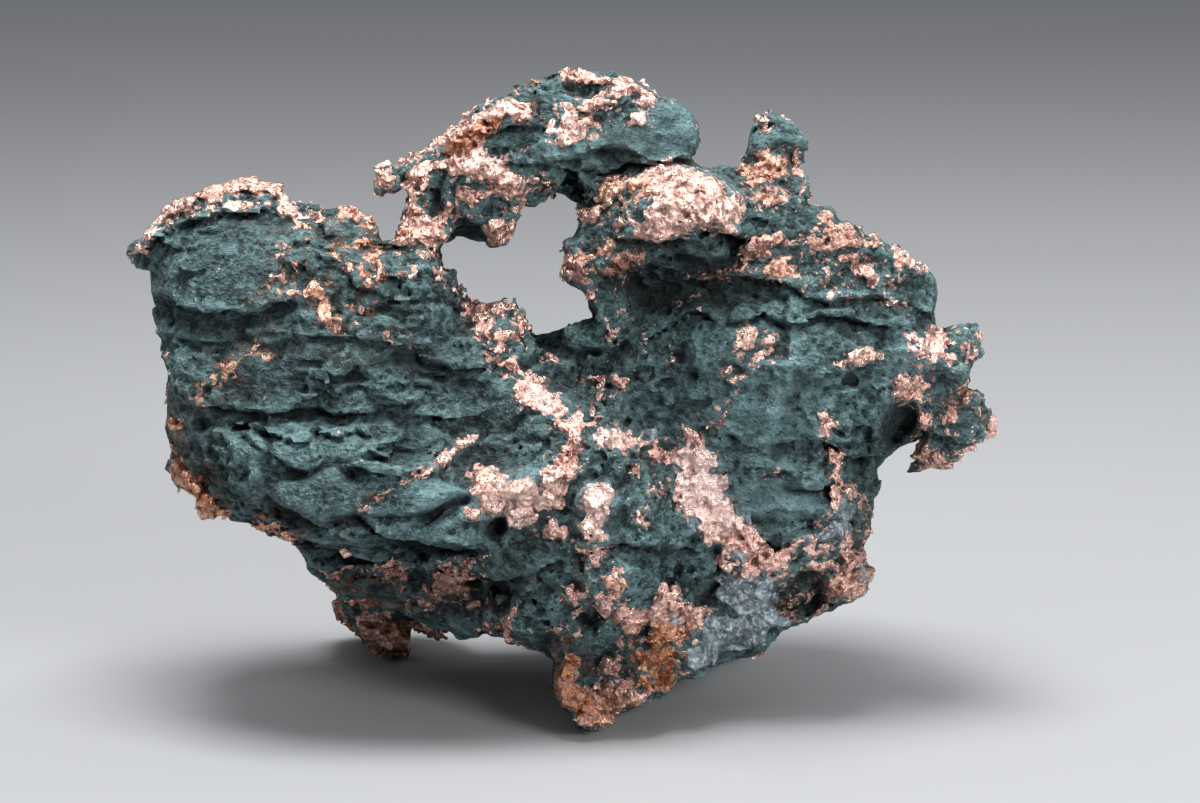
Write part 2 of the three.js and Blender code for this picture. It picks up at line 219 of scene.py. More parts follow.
# Copper on the front, by piece: the most triangles, and then the patches by how far they stand out. Each
# patch: across, up, half length, half width unless it is round, lean in degrees unless it is upright.
# Below zero are bare spots in the others.
COPPER = {
    "copper_arch": (120000, {
        0.4: [(-12, 45, 1.2, 0.6, 30), (-9.9, 46.4, 1.6, 0.6, 28), (-8.2, 47.5, 0.9, 0.5, 40),
              (-9.5, 36.3, 0.5, 1), (-2.4, 51.2, 0.7, 0.3, 35), (10.4, 47.6, 0.25),
              (-5.9, 49.9, 0.5, 0.25, 35)],
        0.5: [(-13.9, 43.6, 0.9, 1), (-7.9, 42.3, 0.6, 0.9, 20), (-9.6, 38.6, 0.8, 0.6),
              (-10.9, 37.6, 0.9, 0.5), (-2.3, 43.1, 0.5, 0.4), (-1.1, 42.8, 0.5, 0.4),
              (-11.9, 41.4, 0.6, 1.2), (4.3, 50.3, 0.8, 0.3), (-4.3, 50.4, 0.6, 0.25, 20),
              (-0.9, 47.6, 0.4, 0.7), (0.9, 47, 0.7, 0.5), (6.4, 49.5, 0.8, 0.6, -20),
              (5.9, 48.1, 0.6, 0.5), (-8.4, 47.1, 1.6, 1, 40)],
        0.6: [(-11.7, 43, 0.9, 1.3, -15), (-9, 40.2, 0.6), (-3.4, 41.2, 0.6), (-12.5, 38.8, 0.9, 0.7),
              (0.7, 51.6, 1.4, 0.6, 4), (1.3, 51.1, 1.2, 0.4, -5), (5.3, 50.5, 1.3, 0.4, -16),
              (1.6, 47.8, 1.1, 0.6, -30), (-0.2, 46.7, 0.8, 0.7, 20)],
        0.7: [(-9.2, 41.4, 0.7, 0.8), (-6.3, 41.9, 0.6, 1, -20), (-5, 42.3, 0.8, 0.7),
              (-4.5, 43.5, 0.8, 0.5), (3.4, 51, 1.8, 0.5, -12), (0.5, 48.5, 0.9, 0.7, -20),
              (-11.2, 39.8, 1.5, 1.3), (-7.1, 41.9, 0.8, 1), (0.8, 47.6, 1)],
        0.8: [(-10.2, 44.2, 1.8, 0.8, 25), (-5.6, 44.2, 0.9, 0.8), (-8.2, 46.2, 1, 0.9, 30),
              (-3.9, 42.7, 1, 0.9), (-10.9, 39.5, 1.9, 1.3, -5), (-6.6, 44.4, 2.7, 1, 12),
              (-4.3, 42.9, 1.4, 0.9)],
        0.9: [(-5, 39.4, 1.3, 1, 10), (-6.6, 46.9, 2, 0.6, 28)],
        1: [(-7.2, 45, 2.2, 1.2, 15), (-6.9, 47.5, 1.3, 0.9, 35), (-3.3, 48.9, 1, 0.9),
            (2.5, 49.3, 1.3, 0.7, 10), (-5, 48.6, 1.9, 0.9, 12)],
        1.1: [(-5.2, 48.4, 1.5, 0.9, 15)],
        -1: [(-9.7, 42.7, 1, 1.5, 10), (-5.8, 41.2, 1.3, 1), (-4.5, 46.4, 2, 1, 8), (-3.2, 45.2, 1.4, 0.8)],
        -0.8: [(-8.2, 43.3, 1, 0.6), (-12.8, 43.7, 0.7, 0.8)],
    }),
    "copper_dome": (110000, {
        0.3: [(10.7, 34.7, 0.5), (4.6, 33.3, 0.2, 0.6, 15)],
        0.4: [(4.6, 41.8, 0.4, 0.5), (4.4, 36.9, 1.5, 0.9, 30), (8.8, 33.6, 0.4, 0.25), (15.3, 47.7, 0.4)],
        0.5: [(12.4, 39.6, 0.9, 0.6), (3.2, 42.2, 0.9, 0.6, 30), (1, 41, 0.5, 0.4),
              (3.2, 38.1, 0.9, 0.35, 10), (0.9, 37.1, 1.2, 0.6, 10), (0.9, 36, 1, 0.5, -10),
              (-0.3, 38.5, 0.25, 0.45), (1.7, 34.4, 0.45, 0.4), (13.9, 37.3, 0.7, 0.5, 30),
              (15.9, 44.6, 1.3, 1, -10), (18.7, 43.4, 0.4, 0.9), (16.1, 42, 1.3, 0.6, -10),
              (13.7, 44.3, 0.4, 0.7), (3.4, 43.2, 1.2, 0.5, 20)],
        0.6: [(13, 41.4, 1, 0.8, -20), (5, 43, 1.3, 0.6, 15), (4.6, 40, 0.8, 0.6, 20),
              (10.9, 35.7, 0.6, 0.4, 10), (12.3, 36.2, 0.7, 0.4, 20), (13.4, 36.6, 0.5, 0.4),
              (14.8, 38.1, 0.9), (16.2, 38.8, 0.9, 0.5), (16.6, 36.5, 1.4, 0.9, -10),
              (14.8, 43.7, 1.1, 0.9, 20), (17.9, 44.8, 0.7, 0.9, 10)],
        0.7: [(8.1, 43.4, 2.6, 1.5, -5), (6.8, 39.5, 1.7, 1, 10), (2.2, 40.7, 1, 0.6, 15)],
        0.8: [(11.5, 41, 2, 1.4, -15), (9.2, 41.6, 3.6, 2.4, -12)],
        0.9: [(10, 42.2, 2.6, 1.9, -15), (8.2, 40.6, 2.5, 1.5, 10)],
        -0.9: [(5.4, 41.2, 1.1, 1.4, -20)],
    }),
    "copper_right": (80000, {
        0.25: [(28.4, 30.2, 1.9, 1.5, -20)],
        0.3: [(25.5, 33.7, 0.7, 0.25, -15), (27, 31.2, 0.6, 0.4), (14.4, 29.5, 0.5, 0.3),
              (12.4, 28.4, 0.4), (8.1, 29.6, 0.25, 0.3), (6.3, 31, 0.2, 0.35), (2, 24.3, 0.5, 0.25),
              (11.4, 24, 0.25, 0.4, -30), (12.4, 24.8, 0.2, 0.5, -35)],
        0.35: [(29.1, 31.5, 0.7, 0.5), (31.7, 22, 1.1, 0.6, 30), (34.2, 25.3, 0.2, 0.4)],
        0.4: [(25.3, 35.8, 0.6, 0.3), (22.6, 34.1, 0.5, 0.3), (26.6, 33.3, 0.4, 0.3),
              (21.6, 28.9, 0.35, 0.6, -30), (27.9, 24.9, 0.4, 1.5, 5), (33.6, 24.9, 0.35, 1, -10),
              (14.2, 31.4, 0.6, 0.8), (14, 30.4, 0.5, 0.6), (15.7, 30.8, 0.5), (15.4, 29.6, 0.8, 0.5, 10),
              (13.3, 27.9, 0.7, 0.3, 25), (8.1, 30.4, 0.3, 0.25), (3.6, 31.4, 0.25, 0.8),
              (4.2, 30.1, 0.5, 0.25, -20), (3.1, 26.6, 0.25, 0.9), (2.3, 25.3, 0.35, 0.6, -20),
              (16.7, 20.1, 0.3, 0.2)],
        0.42: [(32, 32.1, 0.7, 0.5, -20), (32.8, 30.9, 0.4, 0.7), (32.2, 29.6, 0.7, 0.6),
               (31.2, 26.6, 0.9, 0.7, 30), (30.3, 24.7, 0.6, 1, -10)],
        0.49: [(28.1, 22.5, 0.7, 0.6)],
        0.5: [(22.5, 38.6, 0.6, 0.5, -30), (27.7, 36.3, 0.5, 0.35), (18.7, 35, 0.4, 0.35),
              (20.7, 34.4, 0.5, 0.4), (20.3, 36.2, 0.5, 0.4), (23.4, 36.2, 0.7, 0.5, -20),
              (23.9, 35.5, 0.5, 0.4), (24.1, 29.5, 0.6, 0.45), (2.7, 27.8, 0.8, 0.3, 5),
              (4.3, 27.4, 0.7, 0.5, 30)],
        0.56: [(26.8, 27.1, 1.3, 1.1, 10)],
        0.6: [(20.3, 40.7, 0.6), (19.8, 38.3, 0.8, 0.6), (24.1, 38.8, 0.5, 0.6), (26, 37.8, 0.6, 0.5, -35),
              (26.8, 36.9, 0.7, 0.5, -35), (21.9, 37.1, 1.2, 0.5, -10), (22.8, 29.5, 1.1, 0.7, 20),
              (20.4, 24.1, 0.7, 1, -15)],
        0.63: [(26.7, 20.4, 0.5, 0.35, 20), (29.9, 20.9, 0.6, 0.7)],
        0.7: [(21.2, 39.1, 1.6, 0.9, -10), (28.5, 21.4, 1.6, 0.9)],
    }),
    "copper_low": (150000, {
        0.2: [(5.4, 20.6, 0.8, 0.5, 20), (7.2, 19, 0.4, 0.3)],
        0.25: [(7.3, 4.6, 1.9, 2)],
        0.3: [(5.9, 22.6, 0.6, 0.4), (5.7, 16.6, 0.5, 0.9, 10), (2, 13.7, 1.2, 0.7), (-0.4, 7.4, 0.8, 0.4)],
        0.4: [(7, 22.1, 0.6, 0.7), (9.8, 23, 0.8, 1.2, 20), (12.8, 13.2, 0.8, 0.9), (17.1, 11.8, 0.5, 0.4),
              (20.9, 21.8, 0.5), (23.8, 15, 0.3, 0.7), (19.4, 10.2, 1.5, 1.3, 30),
              (17.8, 9.4, 1.4, 0.9, 40), (-13.3, 19.2, 1.3, 0.18, 30), (-14.9, 18, 0.9, 0.15, 40),
              (9.2, 6.7, 0.8, 0.9), (7.2, 2.9, 1.2, 0.7, 35), (0.9, 9.2, 0.5, 0.6), (-4.9, 6.6, 0.7, 0.4),
              (-6.4, 7.6, 0.5, 0.4)],
        0.5: [(4.2, 23, 1.5, 0.75, -3), (10.8, 21.5, 1), (12, 19.4, 1, 1.1), (21.5, 20.9, 0.4, 0.8, 10),
              (21.2, 19.7, 0.5, 0.8), (21.3, 18.5, 0.5, 0.8), (22.3, 18.8, 0.6, 0.5, 20),
              (21.1, 17.5, 0.4, 0.6), (23.2, 17.8, 0.35, 0.6, 10), (20.6, 15.8, 1.1, 0.4, 25),
              (18.5, 14.5, 1.3, 0.45, 20), (19.9, 14.2, 1, 0.4, 15), (0.3, 21.2, 0.6, 0.9),
              (-0.9, 15.6, 1.2, 0.7), (10.7, 18.6, 3.4, 1.7, -62), (13.4, 15, 2.9, 1.4, -42),
              (3.9, 23, 2, 0.9, -5), (2.5, 0.1, 2.2, 0.8), (3.4, 2.4, 1.6, 1.1), (8.6, 8, 2, 0.9, 10),
              (-11.2, 20.3, 1.1, 0.3, 28), (7.2, 6.9, 1.7, 0.5, 10), (0.2, 4.2, 0.9, 1.7), (4.6, 3.4, 0.5),
              (1.2, 1.6, 1.2, 0.9, -30), (3, 0.9, 1.9, 0.9, -5), (5.2, 1.9, 1.8, 0.8, 20),
              (0.6, 10.4, 0.8, 0.9, 40), (-4.5, 8.4, 0.3, 1.5, -30)],
        0.6: [(8.9, 21.3, 1.2, 0.9, -10), (10.3, 19.5, 1.9, 1.3, -30), (10.1, 17.6, 1.4, 1, -20),
              (12.1, 17.2, 1.4, 1.3, -30), (12.1, 15.4, 2, 1.1, -25), (13.9, 15.6, 0.9, 1.2, 25),
              (14.6, 12.4, 1.2, 0.8, 10), (17.2, 13.7, 0.8, 0.6, 20), (22.2, 15, 0.6, 0.8),
              (20.3, 12.6, 1.3, 0.6), (0.2, 24, 1, 0.9), (0.6, 22.6, 0.9, 1), (2.2, 16.6, 0.8),
              (-0.1, 3, 1.1, 1.8, 10)],
        0.7: [(15, 14.4, 1.1, 0.9, -45), (16, 13.2, 1.3, 0.8, -15), (-9.4, 21.5, 1.2, 0.45, 35),
              (3.8, 11.4, 0.9), (3, 9.5, 0.8, 1.1, 10), (5, 8.5, 1.4, 0.8, -20), (6.8, 8.8, 1.2, 0.7),
              (10.2, 8.9, 1.2, 0.9, -10)],
        0.8: [(23, 13.3, 1.2, 0.9), (22.3, 11.2, 1.9, 1.3, 10), (23.9, 11.8, 0.7, 0.9),
              (1.9, 15.7, 1.1, 0.9, -20), (-7.7, 22.8, 1, 0.5, 45), (8, 10, 1.3, 1.1, 20)],
        0.9: [(-1.3, 18, 1.2, 0.9), (-7.1, 17.1, 0.55, 0.6), (-7, 18.8, 0.5), (2.5, 18, 1.6, 1.5),
              (3.6, 4.6, 1.1, 1)],
        1: [(-0.6, 20, 1.6, 1.3, 30), (-3.5, 18.7, 1.5, 1.1, 10)],
        1.1: [(-3.4, 16.9, 1.3, 1), (-6.1, 19.9, 1.4, 1, -10), (-5.7, 18.1, 1, 1.3)],
    }),
    "copper_left": (120000, {
        0.18: [(-21.2, 34.9, 0.8, 0.4, 10), (-15.7, 31.9, 1, 0.18, -20), (-13.9, 31.2, 1, 0.2, -18),
               (-12.5, 30.6, 0.5, 0.15, -18)],
        0.24: [(-22.1, 38.1, 0.4), (-20.9, 36.7, 0.4), (-17.5, 37.8, 0.4, 0.3), (-16.6, 36.7, 0.7, 0.4),
               (-12.8, 37.4, 0.4), (-24, 30.5, 0.5, 0.35, 40), (-25.2, 29.3, 0.8, 0.3, 40),
               (-26.5, 28.4, 0.8, 0.35, 35), (-23.1, 29.7, 0.4, 0.3)],
        0.3: [(-26.5, 41.4, 1.8, 0.25, 10), (-20.3, 40.2, 0.5), (-14.2, 38.9, 0.5, 0.9),
              (-22.2, 35.7, 0.5), (-15.3, 35.4, 0.4, 0.5), (-15.6, 33.3, 0.6, 0.5),
              (-11.9, 36.2, 0.4, 0.5), (-27.6, 27.4, 0.6, 0.5, 40), (-28.7, 26.2, 0.5, 0.5, 40),
              (-31.6, 29.2, 0.4, 0.8), (-12.5, 40, 0.9, 1)],
        0.36: [(-14.8, 40.2, 0.7, 1, 30), (-19.4, 34.6, 0.7, 0.8, -30), (-18.7, 33.2, 0.6, 1.1, 20),
               (-17.8, 32.3, 0.6, 0.8, 20), (-15.8, 38.3, 0.7, 0.5)],
        0.4: [(-24.7, 41.4, 0.9, 0.35, 10), (-19.2, 40.5, 0.8, 0.4), (-5.9, 29.9, 0.4, 0.5),
              (-1.2, 29.3, 0.9, 0.18, -20), (-18.6, 12.1, 1.4, 0.35), (-17, 12.6, 0.5, 0.4),
              (-7.6, 12.9, 0.8, 0.5)],
        0.42: [(-14.6, 37.5, 0.9, 0.6, 20), (-14.4, 36.3, 0.6, 0.7)],
        0.5: [(-32.9, 37.9, 0.7, 0.4, 40), (-32.2, 39.2, 0.9, 0.45, 50), (-30.7, 24.2, 0.8, 0.4),
              (-27, 16.8, 0.8, 0.6), (-24, 15.8, 1.6, 0.5, -10), (-21.8, 14.9, 1.2, 0.5, -30),
              (-10.3, 10.6, 0.8, 0.6), (-11.4, 9.5, 0.7, 0.4), (-7.2, 9.5, 0.6, 0.5),
              (-16.5, 8.8, 2, 1.3, -35), (-14.2, 7.2, 1.4, 1.2, -30)],
        0.6: [(-21.5, 41.2, 1.3, 0.5, -50), (-16.4, 40.9, 1.6, 0.7, -5), (-31.3, 21.7, 0.5, 0.7),
              (-4.1, 28.6, 1.2, 0.5, -15), (-2.4, 25.8, 1.3, 0.6, -20), (-0.7, 25.6, 0.9, 0.8, -30),
              (-13.8, 12.4, 1.3, 0.9, -20), (-8.8, 11.6, 1.6, 1.3, -20)],
        0.7: [(-31, 40.5, 1.4, 0.5, 35), (-29.2, 41.7, 1.6, 0.5, 25), (-27.2, 42.5, 1.6, 0.5, 15),
              (-30.3, 20.1, 1, 0.8, -50), (-29.3, 19, 0.9, 0.7, -40), (-8, 34.6, 0.4, 0.7, 20),
              (-6.3, 31.7, 1.1, 1, -30), (-4.6, 30.9, 1.2, 0.7, 10), (-3.1, 32.1, 0.6, 0.7, 30),
              (-2.2, 26.9, 1.9, 0.9, -15)],
        0.8: [(-25.4, 43, 1.4, 0.6, 12), (-23.7, 43.1, 1.5, 0.7), (-22.1, 42.6, 1, 0.7, -30),
              (-28.3, 17.3, 1.1, 1, -30), (-7, 33.4, 1, 0.9), (-5.2, 33.4, 1, 0.7, 10)],
    }),
}

# Pale quartz on the front, laid out as one piece's copper is.
QUARTZ = {
    0.2: [(16.6, 8.8, 1.2, 1.4)],
    0.3: [(15, 10.2, 1.9, 1.5, 20), (11, 5.4, 1.5, 1, 25)],
    0.35: [(14.6, 7.6, 2, 1.8, 30), (12.4, 7.2, 1.7, 1.5), (6.8, 23, 0.6, 0.4)],
    0.45: [(13.2, 10.6, 1.6, 1.3)],
    0.5: [(22.1, 17.4, 0.6, 0.8)],
    0.6: [(12.3, 20.4, 0.5, 0.4, -30), (21.7, 16.2, 0.5, 0.6)],
    0.65: [(21, 15.4, 0.7, 0.4, 20)],
    0.7: [(14.1, 16.5, 0.5, 0.4), (19.3, 14.9, 0.9, 0.45, 25)],
    0.75: [(13.7, 13.8, 0.9, 0.6)],
    0.85: [(23.6, 12, 0.5, 0.3), (8.4, 8.3, 0.5, 0.45)],
}

# Where the copper and the rock are rusty or golden: across, up, half length, half width, lean, amount.
WARM = [
    (-18.5, 34.5, 7.5, 6, -10, 0.56), (-26.5, 28, 4.5, 2.8, 40, 0.6), (-29.8, 19.6, 3.6, 2.4, -50, 1.2),
    (-23.5, 16, 4.5, 1.8, -20, 1.2), (-30.9, 24.2, 1.4, 3.6, 0, 0.9), (-15.5, 40, 3, 2, 0, 0.45),
    (-14, 18.6, 2.6, 1.2, 35, 0.52), (-6.2, 19, 1.6, 2, 0, 0.45), (-16, 8.4, 4.5, 3.6, -30, 1.1),
    (33.6, 24.9, 1, 2.4, 0, 0.75), (7.6, 7, 3, 1.2, 10, 0.9), (0, 3.6, 2.2, 3.2, 0, 1.4),
    (7.3, 4.4, 2.6, 2.2, 0, 1.1), (3, 1, 3, 1.6, 0, 0.7), (3.8, 11, 1.4, 1.2, 0, 0.45),
    (-5.4, 7.8, 2, 2.4, -30, 0.6), (-3.6, 50.8, 2.2, 0.8, 30, 0.68), (4.5, 42.6, 2.4, 1.6, 20, 0.52),
    (3.2, 37.4, 3.4, 1.8, 15, 0.38), (18.5, 10.5, 3, 2.2, 20, 0.38), (16.5, 36.6, 2.2, 1.4, -10, 0.3),
    (12, 35.6, 2.6, 1.2, 10, 0.3), (15.6, 43.8, 2.8, 2.4, 0, 0.5), (11.5, 24.4, 1.6, 1, 0, 0.38),
    (23.6, 15.6, 1, 2, 0, 0.45), (-6.9, 46.8, 2.8, 0.7, 32, 1.1), (-30, 41, 4, 1.2, 28, 0.15),
    (-10, 11.5, 5, 2.4, 0, 0.26), (30.8, 26, 2, 2.4, 0, 0.3), (23, 12.4, 2.4, 2.6, 0, 0.22),
]

# Painted light and shade: where the face's colour is made paler, as if lit more, and below zero darker, as
# if in shade, laid out in the same way.
PAINTED_LIGHT_AND_SHADE = [
    (21.5, 38.4, 4, 2, -15, -0.5), (16.3, 37.6, 2.6, 1.8, 0, -0.3), (16.5, 18, 3.6, 1.6, -6, 0.9),
    (3, 45.4, 5, 2.2, 0, 0.35), (7.5, 47.2, 3, 2.2, -15, 0.3), (15, 26, 6, 5, 0, 0.25),
    (-9.5, 18.3, 2.6, 1.4, 10, 0.3), (-20, 18.2, 6, 2.4, -5, -0.3), (-4, 18.5, 3.4, 2.8, 0, 0.55),
    (2.4, 17.4, 1.8, 2.6, 0, 0.6), (11, 18.8, 3.8, 2.4, -60, 0.9), (4, 23, 2.4, 1, 0, 0.4),
    (-8.5, 22.3, 2.4, 0.6, 40, 0.5), (-1, 26, 3, 1.4, -15, 0.3), (-17.5, 23.8, 3.6, 1, 0, 0.15),
    (26.8, 29.6, 2, 2, 0, 0.3), (9, 35.2, 6, 2.6, -3, -0.8), (-18, 28, 9, 3.2, 0, -0.4),
    (-26.6, 32.2, 4.5, 1.3, -3, -0.5), (-10.6, 29.2, 3, 1.4, 5, -0.5), (-10, 11.3, 9, 3, 4, -0.6),
    (1, 4, 4, 5, 0, -0.55), (7, 5, 3, 3, 0, -0.5), (24.2, 16, 1.8, 8, 0, -0.5), (18.5, 9.8, 4, 2, 15, -0.5),
    (26, 24, 1.5, 2.4, -20, -0.9), (-1.5, 14, 4, 1.5, 10, -0.2), (2.5, 36.8, 3.4, 2.4, 0, -0.45),
    (28.5, 21.3, 2.4, 1.2, 0, -0.4), (30.5, 24.5, 2.2, 2.2, 0, -0.25), (-29.5, 21, 3, 3.4, -40, -0.3),
    (4.8, 31, 3, 2, 0, -0.3), (14, 8, 5, 4, 0, -0.3), (-8.5, 42, 2.5, 1.6, 0, -0.2),
    (16, 44, 3, 3, 0, -0.25), (-4.5, 46.2, 2.2, 1.2, 8, -0.4),
]

# Where fine copper is scattered through the rock's face, laid out in the same way.
DUST = [
    (7.5, 19.5, 3.4, 4, 0, 0.32), (15, 30, 2.4, 2.2, 0, 0.41), (3, 26, 2.4, 3, 0, 0.27),
    (30, 27.5, 4, 5, 0, 0.41), (22.5, 37, 5.5, 3.2, -20, 0.36), (16.5, 43.5, 2.6, 3.6, 0, 0.36),
    (-10, 11.5, 6.5, 2.6, 0, 0.41), (2.4, 8.5, 3, 4.5, 0, 0.36), (-7, 44.5, 6, 5, 20, 0.45),
    (2.5, 48.8, 4, 2.6, 0, 0.36), (3.8, 39.5, 3, 4, 0, 0.36), (-17.5, 36, 5, 4.6, 0, 0.32),
    (-25, 41, 6.5, 1.6, 10, 0.41), (-2, 24, 3, 4, -30, 0.32), (21.5, 15.5, 3, 3, 0, 0.36),
    (9, 41.5, 5, 3.4, 0, 0.36), (14.5, 36.5, 3, 1.8, 0, 0.32), (-5.5, 31.5, 3, 3, 0, 0.32),
    (-26, 27.5, 3.4, 1.4, 38, 0.36), (2, 13.5, 2.4, 3, 0, 0.27), (7, 5, 4, 3.6, 0, 0.45),
    (-30, 20, 3, 2, -50, 0.45), (11.5, 24.5, 1.6, 1.8, 0, 0.32), (18.5, 10.5, 3, 2.6, 0, 0.36),
]

RNG = np.random.default_rng(11)
LATTICE = 64  # cells along each side of the block of noise
WAVE = 6  # cells from one of its features to the next
KINDS = 32  # differently turned noises
TABLE = 4096  # scattered seeds
HASH = (73856093, 19349663, 83492791)


# ---------------------------------------------------------------- random fields


def band_noise():
    """A block of noise that repeats on all sides, with features about WAVE cells apart."""
    k = np.fft.fftfreq(LATTICE)
    kx, ky, kz = np.meshgrid(k, k, k, indexing="ij")
    radius = np.sqrt(kx**2 + ky**2 + kz**2)
    shaped = np.fft.fftn(RNG.standard_normal((LATTICE,) * 3)) * np.exp(-(((radius - 0.16) / 0.05) ** 2))
    block = np.fft.ifftn(shaped).real
    return (block / block.std()).astype(np.float32)


BLOCK = band_noise()
TURNS = [np.linalg.qr(RNG.standard_normal((3, 3)))[0].astype(np.float32) for _ in range(KINDS)]
SHIFTS = RNG.uniform(0, LATTICE, (KINDS, 3)).astype(np.float32)
JITTER = RNG.uniform(-0.42, 0.42, (TABLE, 3)).astype(np.float32)
LEANS = RNG.standard_normal((TABLE, 3)).astype(np.float32)
LEANS /= np.linalg.norm(LEANS, axis=1, keepdims=True)
CHANCE = RNG.uniform(0, 1, TABLE).astype(np.float32)


def in_threads(work, *arrays):
    """work on slices of the arrays, on several threads, with the results put together again in order."""
    count = len(arrays[0])
    cuts = np.linspace(0, count, max(THREADS, count // 60000) + 1).astype(int)
    with ThreadPoolExecutor(THREADS) as pool:
        parts = list(pool.map(lambda a, b: work(*(array[a:b] for array in arrays)), cuts[:-1], cuts[1:]))
    return np.concatenate(parts)


def trilinear(array, q, wrap=False):
    """array's value at q, which is in the array's own cells."""
    low = np.floor(q).astype(np.int32)
    t = q - low
    size = array.shape
    flat = array.ravel()
    ends = []
    for axis in range(3):
        a, b = low[:, axis], low[:, axis] + 1
        if wrap:
            a, b = a & (size[axis] - 1), b & (size[axis] - 1)
        else:
            a, b = np.clip(a, 0, size[axis] - 1), np.clip(b, 0, size[axis] - 1)
        ends.append((a, b))
    total = np.zeros(len(q), np.float32)
    for i in (0, 1):
        wi = t[:, 0] if i else 1 - t[:, 0]
        for j in (0, 1):
            wij = wi * (t[:, 1] if j else 1 - t[:, 1])
            row = (ends[0][i] * size[1] + ends[1][j]) * size[2]
            for k in (0, 1):
                wk = t[:, 2] if k else 1 - t[:, 2]
                total += wij * wk * flat[row + ends[2][k]]
    return total


def noise(p, length, seed):
    """Smooth noise of that wavelength, with a spread of about 1."""
    return trilinear(BLOCK, p @ TURNS[seed] * (WAVE / length) + SHIFTS[seed], wrap=True)


def nearest_seed(p, length, seed):
    """The nearest of scattered seeds: the way to it and its distance, in cells, and its number."""
    q = p @ TURNS[seed] / length + SHIFTS[seed]
    base = np.floor(q).astype(np.int32)
    q = q - base - 0.5
    best = np.full(len(p), 9, np.float32)
    way = np.zeros((len(p), 3), np.float32)
    number = np.zeros(len(p), np.int32)
    for i in (-1, 0, 1):
        ni = (base[:, 0] + i) * HASH[0]
        for j in (-1, 0, 1):
            nij = ni ^ (base[:, 1] + j) * HASH[1]
            for k in (-1, 0, 1):
                n = ((nij ^ (base[:, 2] + k) * HASH[2]) + seed * 977) & (TABLE - 1)
                v = JITTER[n] + np.array([i, j, k], np.float32) - q
                d = np.einsum("ij,ij->i", v, v)
                closer = np.nonzero(d < best)[0]
                best[closer] = d[closer]
                way[closer] = v[closer]
                number[closer] = n[closer]
    return way, np.sqrt(best), number


def facets(p, length, seed):
    """Flat breaks, one to a cell, each leaning its own way. About -0.5 to 0.5."""
    way, _near, number = nearest_seed(p, length, seed)
    return np.einsum("ij,ij->i", way, LEANS[number]) * 0.9 + (CHANCE[number] - 0.5) * 0.5


def lumps(p, length, seed):
    """Rounded lumps with sharp creases between them. About -0.5 to 0.5."""
    _way, near, _number = nearest_seed(p, length, seed)
    return 0.5 - near * near * 1.3


def smooth(low, high, x):
    """0 at low, 1 at high and an even curve between them."""
    t = np.clip((x - low) / (high - low), 0, 1)
    return t * t * (3 - 2 * t)


def smooth_max(a, b, reach):
    """The greater of two, with a rounded change from one to the other."""
    blend = np.clip(1 - np.abs(a - b) / reach, 0, 1)
    return np.maximum(a, b) + blend * blend * reach / 4


# ---------------------------------------------------------------- the front chart


def turned(du, dv, lean):
    """A way on the chart, as seen along and across what leans by that many degrees."""
    c, s = math.cos(math.radians(lean)), math.sin(math.radians(lean))
    return du * c + dv * s, dv * c - du * s


def patch(across, up, long, wide=None, lean=0):
    """A patch's five numbers, with the ones that were left out."""
    return across, up, long, wide or long, lean


